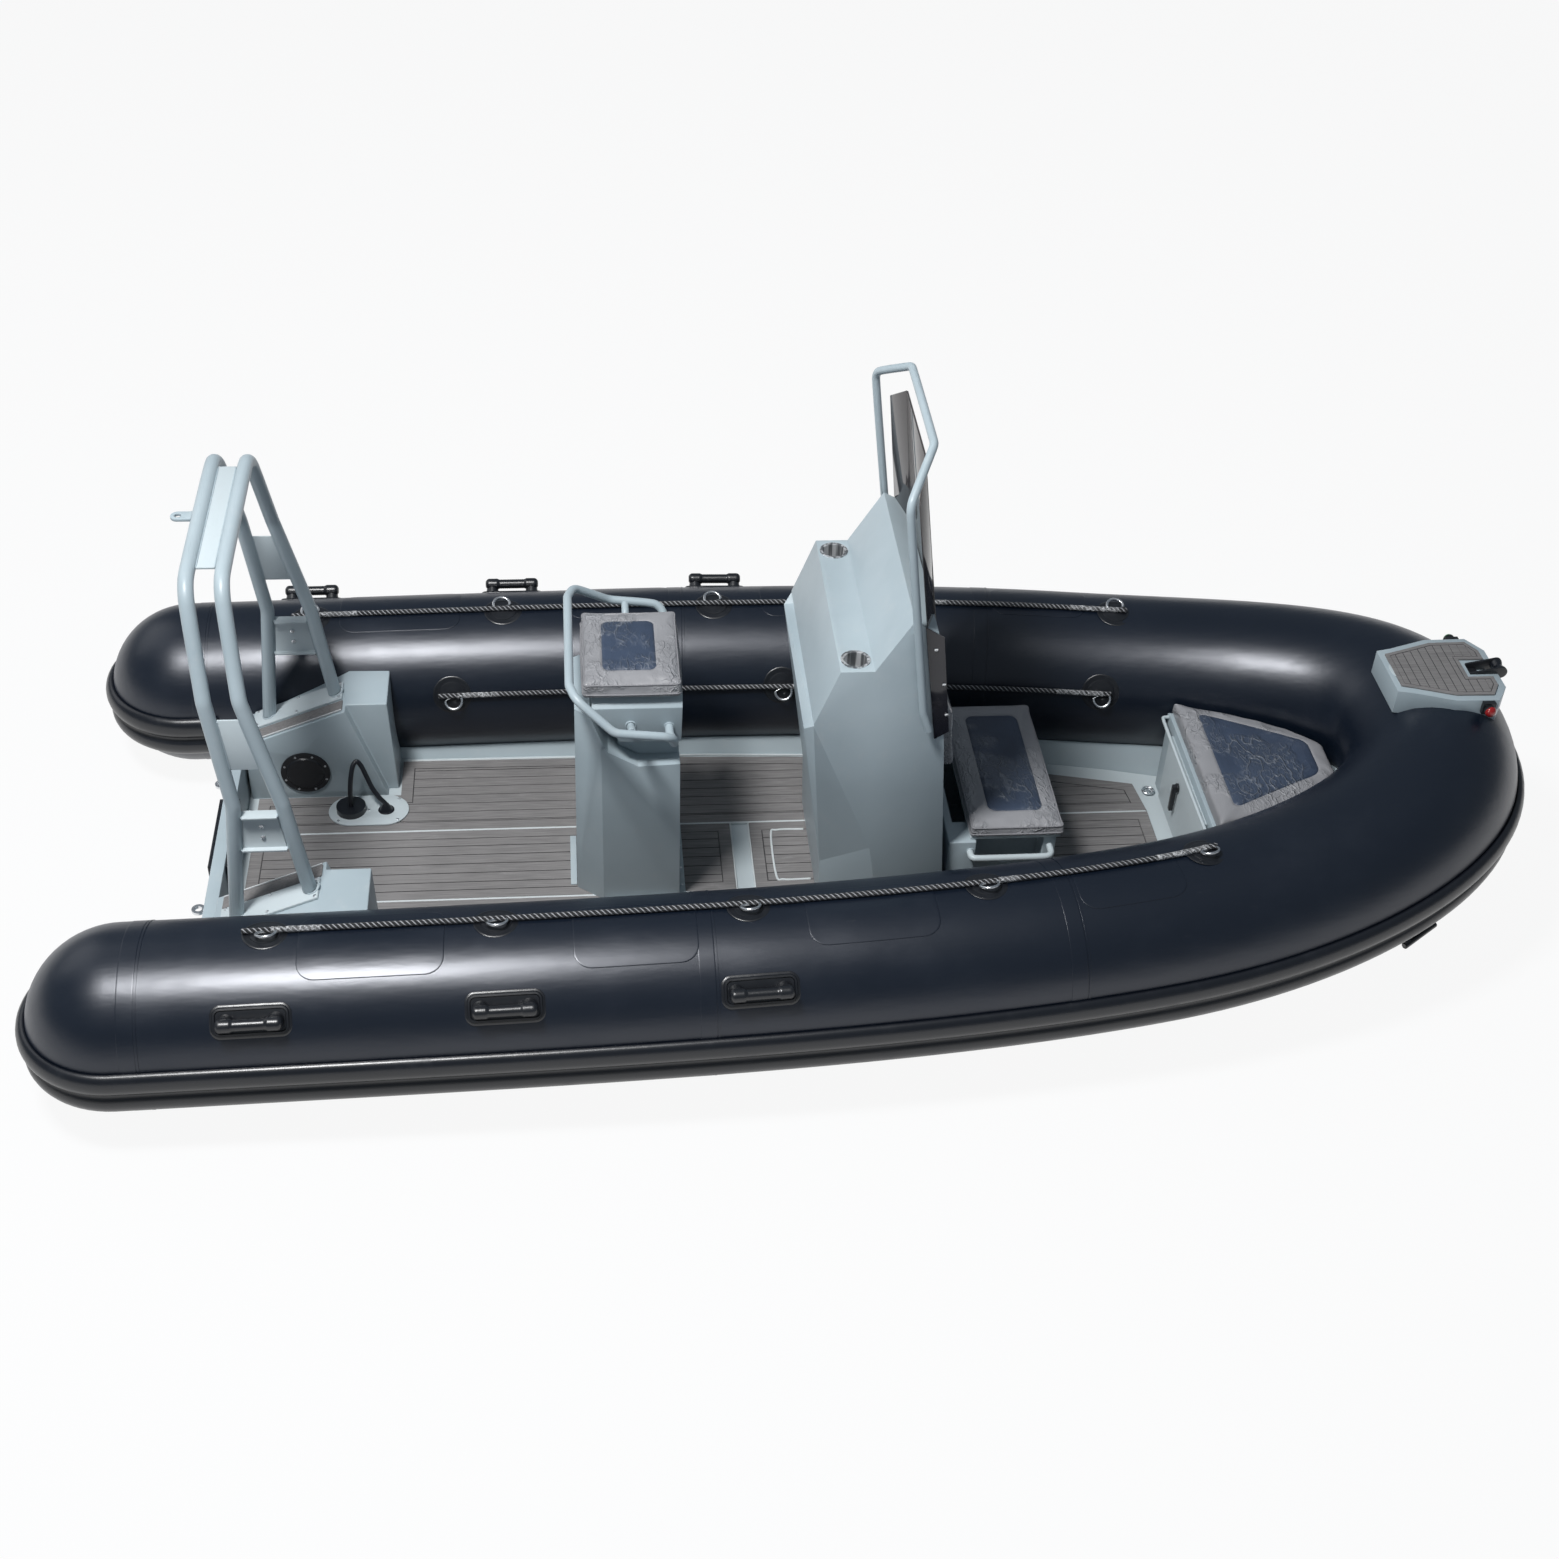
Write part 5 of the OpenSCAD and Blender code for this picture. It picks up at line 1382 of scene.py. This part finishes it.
def makeBow():
    dressed("bowLocker", "bow_locker", 0.004, 3)
    dressed("bowLockerDoor", "bow_locker_door", 0.003, 3, material=plateMetal, body="bow_locker_door")
    dressed("doorLatch", "door_latch", 0.0028, 3, 30, blackPlastic, plasticSlot, "bow_locker_door")
    moulded("bowGrabBar", "bow_grab_bar", material=plateMetal)
    dressed("bowStep", "bow_step", 0.005, 3, 30)
    dressed("bowRollerBracket", "bow_roller_bracket", 0.0012, 2, 40, blackPlastic, plasticSlot)
    moulded("bowRoller", "bow_roller", 30, blackRubber, rubberSlot, "bow_roller")
    weldRound((3.5846, 0.346, 0.438), (-1, 0, 0), 0.0078, 0.002)
    # oval blank plate on the step's aft part
    bpy.ops.mesh.primitive_cylinder_add(vertices=40, radius=blankPlate["radius"], depth=blankPlate["thick"],
                                        location=(0, 0, blankPlate["thick"] / 2))
    plate = settled()
    for v in plate.data.vertices:
        v.co.y *= blankPlate["long"]
    plate.data.transform(Matrix.Translation(blankPlate["at"]))
    # the plate stays clear of the pad's aft edge
    for v in plate.data.vertices:
        v.co.x = blankPlate["shiftTo"] + (v.co.x - blankPlate["aft"]) * blankPlate["narrow"]
    finish(bevelled(plate, 0.0008, 2), plateMetal, metalSlot)
    plate.name = "stepBlankPlate"
    # scupper ring at the locker's foot
    bpy.ops.mesh.primitive_torus_add(major_radius=scupper["ring"], minor_radius=scupper["wire"],
                                     major_segments=40, minor_segments=12,
                                     location=(*scupper["at"], scupper["ringZ"]))
    ring = settled()
    bpy.ops.object.shade_smooth()
    ring.name = "scupperRing"
    bpy.ops.mesh.primitive_circle_add(vertices=40, radius=scupper["drain"], fill_type="NGON",
                                      location=(*scupper["at"], scupper["drainZ"]))
    drain = settled()
    editAll()
    insets(((0.006, -0.002), (0.005, 0.0025)))
    editMode(False)
    finish(joined("scupper", [ring, drain]), brightSteel, steelSlot)


navLight = dict(radius=0.0205, cut=0.004, at=(4.505, 0.210, 0.856))


def makeNavLights():
    dressed("navigationLights", "navigation_lights", 0.0012, 2, 40, blackPlastic, plasticSlot)
    x, y, z = navLight["at"]
    for side, tint, name in ((-1, redLens, "redNavLens"), (1, greenLens, "greenNavLens")):
        bpy.ops.mesh.primitive_uv_sphere_add(segments=32, ring_count=16, radius=navLight["radius"])
        lens = bpy.context.active_object
        editAll()
        bpy.ops.mesh.bisect(plane_co=(0, navLight["cut"], 0), plane_no=(0, 1, 0), clear_inner=True,
                            use_fill=True)
        editMode(False)
        for v in lens.data.vertices:
            v.co = Vector((x + v.co.x, side * (y + v.co.y), z + v.co.z))
        smoothAt(facedOut(lens), 40)
        lens.name = name
        finish(lens, tint, plasticSlot)


# ---- cushions ----
cushions = dict(
    leaningPost=dict(node="leaning_post_cushion", voxel=0.0062,
                     inset=dict(axes=(0, 1), centre=(1.592, 0.0), half=(0.087, 0.138), corner=0.026)),
    frontSeat=dict(node="front_seat_cushion", voxel=0.0075,
                   inset=dict(axes=(0, 1), centre=(2.895, 0.0), half=(0.094, 0.265), corner=0.030)),
    bow=dict(node="bow_cushion", voxel=0.0082,
             inset=dict(axes=(0, 1), centre=(3.84, 0.0), half=(0.178, 0.180), corner=0.030, taper=0.5)),
    backrest=dict(node="console_backrest", voxel=0.0072, middleZ=0.855, halfY=0.300, flatten=0.97,
                  inset=dict(axes=(1, 2), centre=(0.0, 0.857), half=(0.225, 0.068), corner=0.025)))
filling = dict(shrink=(0.004, 0.004, 0.006), most=0.010, pressure=4.0, pull=22, shear=12, bend=3, quality=5,
               frames=20, edge=0.012)
wrap = dict(creases=(24, 14, 30), patches=3.2)
wrap["from"] = 0.46


def shrunk(piece, amount):
    # pulls the outline in, so that the swelling ends at the cushion's own size
    mesh = piece.data
    low = Vector([min(v.co[i] for v in mesh.vertices) for i in range(3)])
    high = Vector([max(v.co[i] for v in mesh.vertices) for i in range(3)])
    mid = (low + high) / 2
    for v in mesh.vertices:
        for i in range(3):
            half = (high[i] - low[i]) / 2
            if i < 2:
                v.co[i] = mid[i] + (v.co[i] - mid[i]) * (half - amount[i]) / half
            elif v.co.z > mid.z:
                v.co.z -= amount[i]


def puffed(piece, voxel, pinned):
    # swells a closed form as filled cloth; pinned says which points stay
    selectOnly(piece)
    piece.data.remesh_voxel_size = voxel
    piece.data.remesh_voxel_adaptivity = 0
    bpy.ops.object.voxel_remesh()
    mesh = piece.data
    start = [v.co.copy() for v in mesh.vertices]
    group = piece.vertex_groups.new(name="rest")
    group.add([i for i, p in enumerate(start) if pinned(p)], 1.0, "REPLACE")
    cloth = piece.modifiers.new("filling", "CLOTH")
    settings, frames, most = cloth.settings, filling["frames"], filling["most"]
    settings.vertex_group_mass = "rest"
    settings.use_pressure = True
    settings.uniform_pressure_force = filling["pressure"]
    settings.effector_weights.gravity = 0
    settings.tension_stiffness = settings.compression_stiffness = filling["pull"]
    settings.shear_stiffness = filling["shear"]
    settings.bending_stiffness = filling["bend"]
    settings.quality = filling["quality"]
    cloth.point_cache.frame_start, cloth.point_cache.frame_end = 1, frames
    for step in range(1, frames + 1):
        scene.frame_set(step)
    selectOnly(piece)
    bpy.ops.object.modifier_apply(modifier=cloth.name)
    scene.frame_set(1)
    mesh = piece.data
    for v, p in zip(mesh.vertices, start):
        move = v.co - p
        v.co = p + move * (most / (most + move.length))
    modify(piece, "CORRECTIVE_SMOOTH", factor=0.4, iterations=3, use_only_smooth=True)
    modify(piece, "SUBSURF", levels=1, render_levels=1)
    selectOnly(piece)
    bpy.ops.object.shade_smooth()
    return piece


def flatEdge(a, b, box):
    # the same outline as the finish's panel, worked out for a point
    centre, half, corner = box["centre"], box["half"], box["corner"]
    da = abs(a - centre[0]) - (half[0] - corner)
    db = abs(b - centre[1]) - (half[1] - corner) + (a - centre[0]) * box.get("taper", 0)
    return math.hypot(max(da, 0), max(db, 0)) + min(max(da, db), 0) - corner


def sewn(piece, box, away, deep=0.0028, crown=0.0035):
    # presses the panel's seam in and lifts the panel a little
    one, two = box["axes"]
    facing = [v.normal.dot(away) for v in piece.data.vertices]
    for v, turned in zip(piece.data.vertices, facing):
        if turned > 0.35:
            d = flatEdge(v.co[one], v.co[two], box)
            press = deep * math.exp(-(d / 0.0045) ** 2)
            lift = crown * min(1.0, max(0.0, -d / 0.03))
            v.co += away * (lift - press)


def piping(pieceName, piece, outline, radius=0.0028, out=0.0004):
    # a bead along a loop of points, laid on the cushion's surface
    line = rounds(outline + [outline[0]], 0.006)[:-1]
    laid = []
    for p in line:
        spot, normal = piece.closest_point_on_mesh(p)[1:3]
        laid.append(spot + normal * out)
    m = len(laid)
    laid = [(laid[i - 2] + laid[i - 1] + laid[i] + laid[(i + 1) % m] + laid[(i + 2) % m]) / 5
            for i in range(m)]
    rings = []
    for i, point in enumerate(laid):
        ahead = (laid[(i + 1) % m] - laid[i - 1]).normalized()
        side = ahead.orthogonal() if not rings else side
        side = (side - ahead * side.dot(ahead)).normalized()
        rings.append(circle(point, side, ahead.cross(side), radius, 8))
    # the last ring is turned to meet the first
    n = len(rings[0])
    best = min(range(n), key=lambda s: sum((rings[-1][(k + s) % n] - rings[0][k]).length for k in range(n)))
    last = (m - 1) * n
    faces = skin(m, n)
    faces += [(last + (j + best) % n, last + (j + 1 + best) % n, (j + 1) % n, j) for j in range(n)]
    return meshPiece(pieceName, [p for ring in rings for p in ring], faces)


def addPiping(name, piece, node, heights, body="boat"):
    # beads around the top and foot of a cushion; heights: (from the top, from the foot)
    low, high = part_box(node)
    beads = []
    for z, inn in ((high.z - heights[0], 0.004), (low.z + heights[1], 0.0015)):
        loop = cornerWalk(low.x + inn, high.x - inn, low.y + inn, high.y - inn, 0.018, 0.018, 5)
        beads.append(piping("piping", piece, [Vector((x, y, z)) for x, y in loop]))
    finish(joined(name, beads), pipingVinyl, "cushion_vinyl", body=body)


def softened(name, node):
    # the cushion's own shape with its edges taken off
    piece = copyOf(name, node)
    return modify(piece, "BEVEL", width=filling["edge"], segments=3, limit_method="ANGLE",
                  angle_limit=math.radians(40))


def makeCushion(key, name, body="boat"):
    made = cushions[key]
    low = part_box(made["node"])[0]
    piece = softened(name, made["node"])
    shrunk(piece, filling["shrink"])
    foot = low.z + 0.004
    puffed(piece, made["voxel"], lambda p: p.z < foot)
    for v in piece.data.vertices:  # it rests flat
        v.co.z = max(v.co.z, low.z)
    sewn(piece, made["inset"], Vector((0, 0, 1)))
    cover = makeVinyl(name + "Vinyl", vinyl["taupe"], vinyl["navy"], made["inset"], wrap)
    finish(piece, cover, "cushion_vinyl", made["node"], body=body)
    return piece


def makeBackrest():
    # it leans on the console's front and swells forward
    made = cushions["backrest"]
    piece = softened("backrestCushion", "console_backrest")
    inward, middle = filling["shrink"], made["middleZ"]
    for v in piece.data.vertices:
        v.co.y *= (made["halfY"] - inward[1]) / made["halfY"]
        v.co.z = middle + (v.co.z - middle) * made["flatten"]
        if v.co.x > 2.6566 - 0.27 * (v.co.z - 0.74) - 0.02:  # its front
            v.co.x -= inward[2]
    puffed(piece, made["voxel"], lambda p: p.x < consoleFace(p.z) + 0.004)
    for v in piece.data.vertices:  # its back stays in front of the console
        v.co.x = max(v.co.x, consoleFace(v.co.z) + 0.0004)
    sewn(piece, made["inset"], Vector((1, 0, 0)))
    cover = makeVinyl("backrestVinyl", vinyl["taupe"], vinyl["navy"], made["inset"], wrap)
    finish(piece, cover, "cushion_vinyl", "console_backrest")


def makeCushions():
    piece = makeCushion("leaningPost", "leaningPostCushion")
    addPiping("leaningPostPiping", piece, "leaning_post_cushion", (0.010, 0.016))
    piece = makeCushion("frontSeat", "frontSeatCushion", "front_seat_lid")
    addPiping("frontSeatPiping", piece, "front_seat_cushion", (0.010, 0.014), "front_seat_lid")
    makeCushion("bow", "bowCushion")
    makeBackrest()


def consoleFace(z):
    # where the console's front face is at a height
    if z < 0.9:
        return 2.655 - 0.060 * (z - 0.12) / 0.78
    return 2.540 + 0.055 * (1.344 - z) / 0.444


pipingVinyl = makeVinyl("pipingVinyl", vinyl["bead"])
makeLeaningPost()
makeConsole()
makeSeatBoxes()
makeBow()
makeNavLights()
print("leaning post, console, seats and bow made")
makeCushions()
print("cushions made")


# ---- screws and weld beads noted above ----
def makeFastenings():
    screws = placedCopies("screws", makeScrew(), screwPlaces)
    finish(screws, brightSteel, steelSlot)
    finish(joined("weldBeads", weldBeads), satinPaint, metalSlot)


makeFastenings()
print("screws:", len(screwPlaces), "weld beads joined")


# ---- floor, sky and lamps ----
studio = dict(floor=60.0, floorAt=(2.2, 0, 0), floorTone=(0.62, 0.64, 0.67), clear=0.92, sky=0.20,
              skyTone=(0.76, 0.87, 1.0), keyPower=640.0, keySize=1.25, keyAt=(-0.5, -2.2, 7.6),
              fillPower=60.0, fillSize=5.0, fillAt=(-4.5, 4.0, 5.0), aim=(2.2, 0.0, 0.4))


def makeFloor():
    bpy.ops.mesh.primitive_plane_add(size=studio["floor"], location=studio["floorAt"])
    floor = bpy.context.active_object
    floor.name = "floor"
    p = Paint("paleFloor")
    p.set(color=studio["floorTone"], roughness=0.9, specular=0.0)
    rays = p.tree.nodes.new("ShaderNodeLightPath")
    seen = Wire(p, rays.outputs["Is Camera Ray"]).atLeast(Wire(p, rays.outputs["Is Glossy Ray"]))
    seen = seen.atLeast(Wire(p, rays.outputs["Is Transmission Ray"]))
    glow = p.add("ShaderNodeEmission", {}, {"Color": (1, 1, 1, 1), "Strength": 1.0})
    mix = p.add("ShaderNodeMixShader", {}, {0: seen * studio["clear"]})
    node = mix.socket.node
    p.tree.links.new(p.shader.outputs[0], node.inputs[1])
    p.tree.links.new(glow.socket, node.inputs[2])
    p.tree.links.new(mix.socket, p.end.inputs[0])
    floor.data.materials.append(p.material)


def makeSky():
    world = bpy.data.worlds.new("studio")
    scene.world = world
    world.use_nodes = True
    tree = world.node_tree
    tree.nodes.clear()
    rays = tree.nodes.new("ShaderNodeLightPath")
    far = tree.nodes.new("ShaderNodeMath")
    far.operation = "MAXIMUM"
    tree.links.new(rays.outputs["Is Camera Ray"], far.inputs[0])
    tree.links.new(rays.outputs["Is Transmission Ray"], far.inputs[1])
    soft, white = (tree.nodes.new("ShaderNodeBackground") for k in range(2))
    mix = tree.nodes.new("ShaderNodeMixShader")
    soft.inputs["Color"].default_value = rgba(studio["skyTone"])
    soft.inputs["Strength"].default_value = studio["sky"]
    white.inputs["Color"].default_value = (1, 1, 1, 1)
    white.inputs["Strength"].default_value = 1.0
    end = tree.nodes.new("ShaderNodeOutputWorld")
    tree.links.new(far.outputs[0], mix.inputs[0])
    tree.links.new(soft.outputs[0], mix.inputs[1])
    tree.links.new(white.outputs[0], mix.inputs[2])
    tree.links.new(mix.outputs[0], end.inputs[0])


def addLamp(name, place, power, size):
    bpy.ops.object.light_add(type="AREA", location=place)
    lamp = bpy.context.active_object
    lamp.name = name
    lamp.data.energy = power
    lamp.data.size = size
    lamp.rotation_euler = (Vector(studio["aim"]) - Vector(place)).to_track_quat("-Z", "Y").to_euler()


makeFloor()
makeSky()
addLamp("keyLamp", studio["keyAt"], studio["keyPower"], studio["keySize"])
addLamp("fillLamp", studio["fillAt"], studio["fillPower"], studio["fillSize"])

# names every CAD node that still shows
for name, node in nodes.items():
    if not node.hide_render:
        print("CAD node shown:", name)
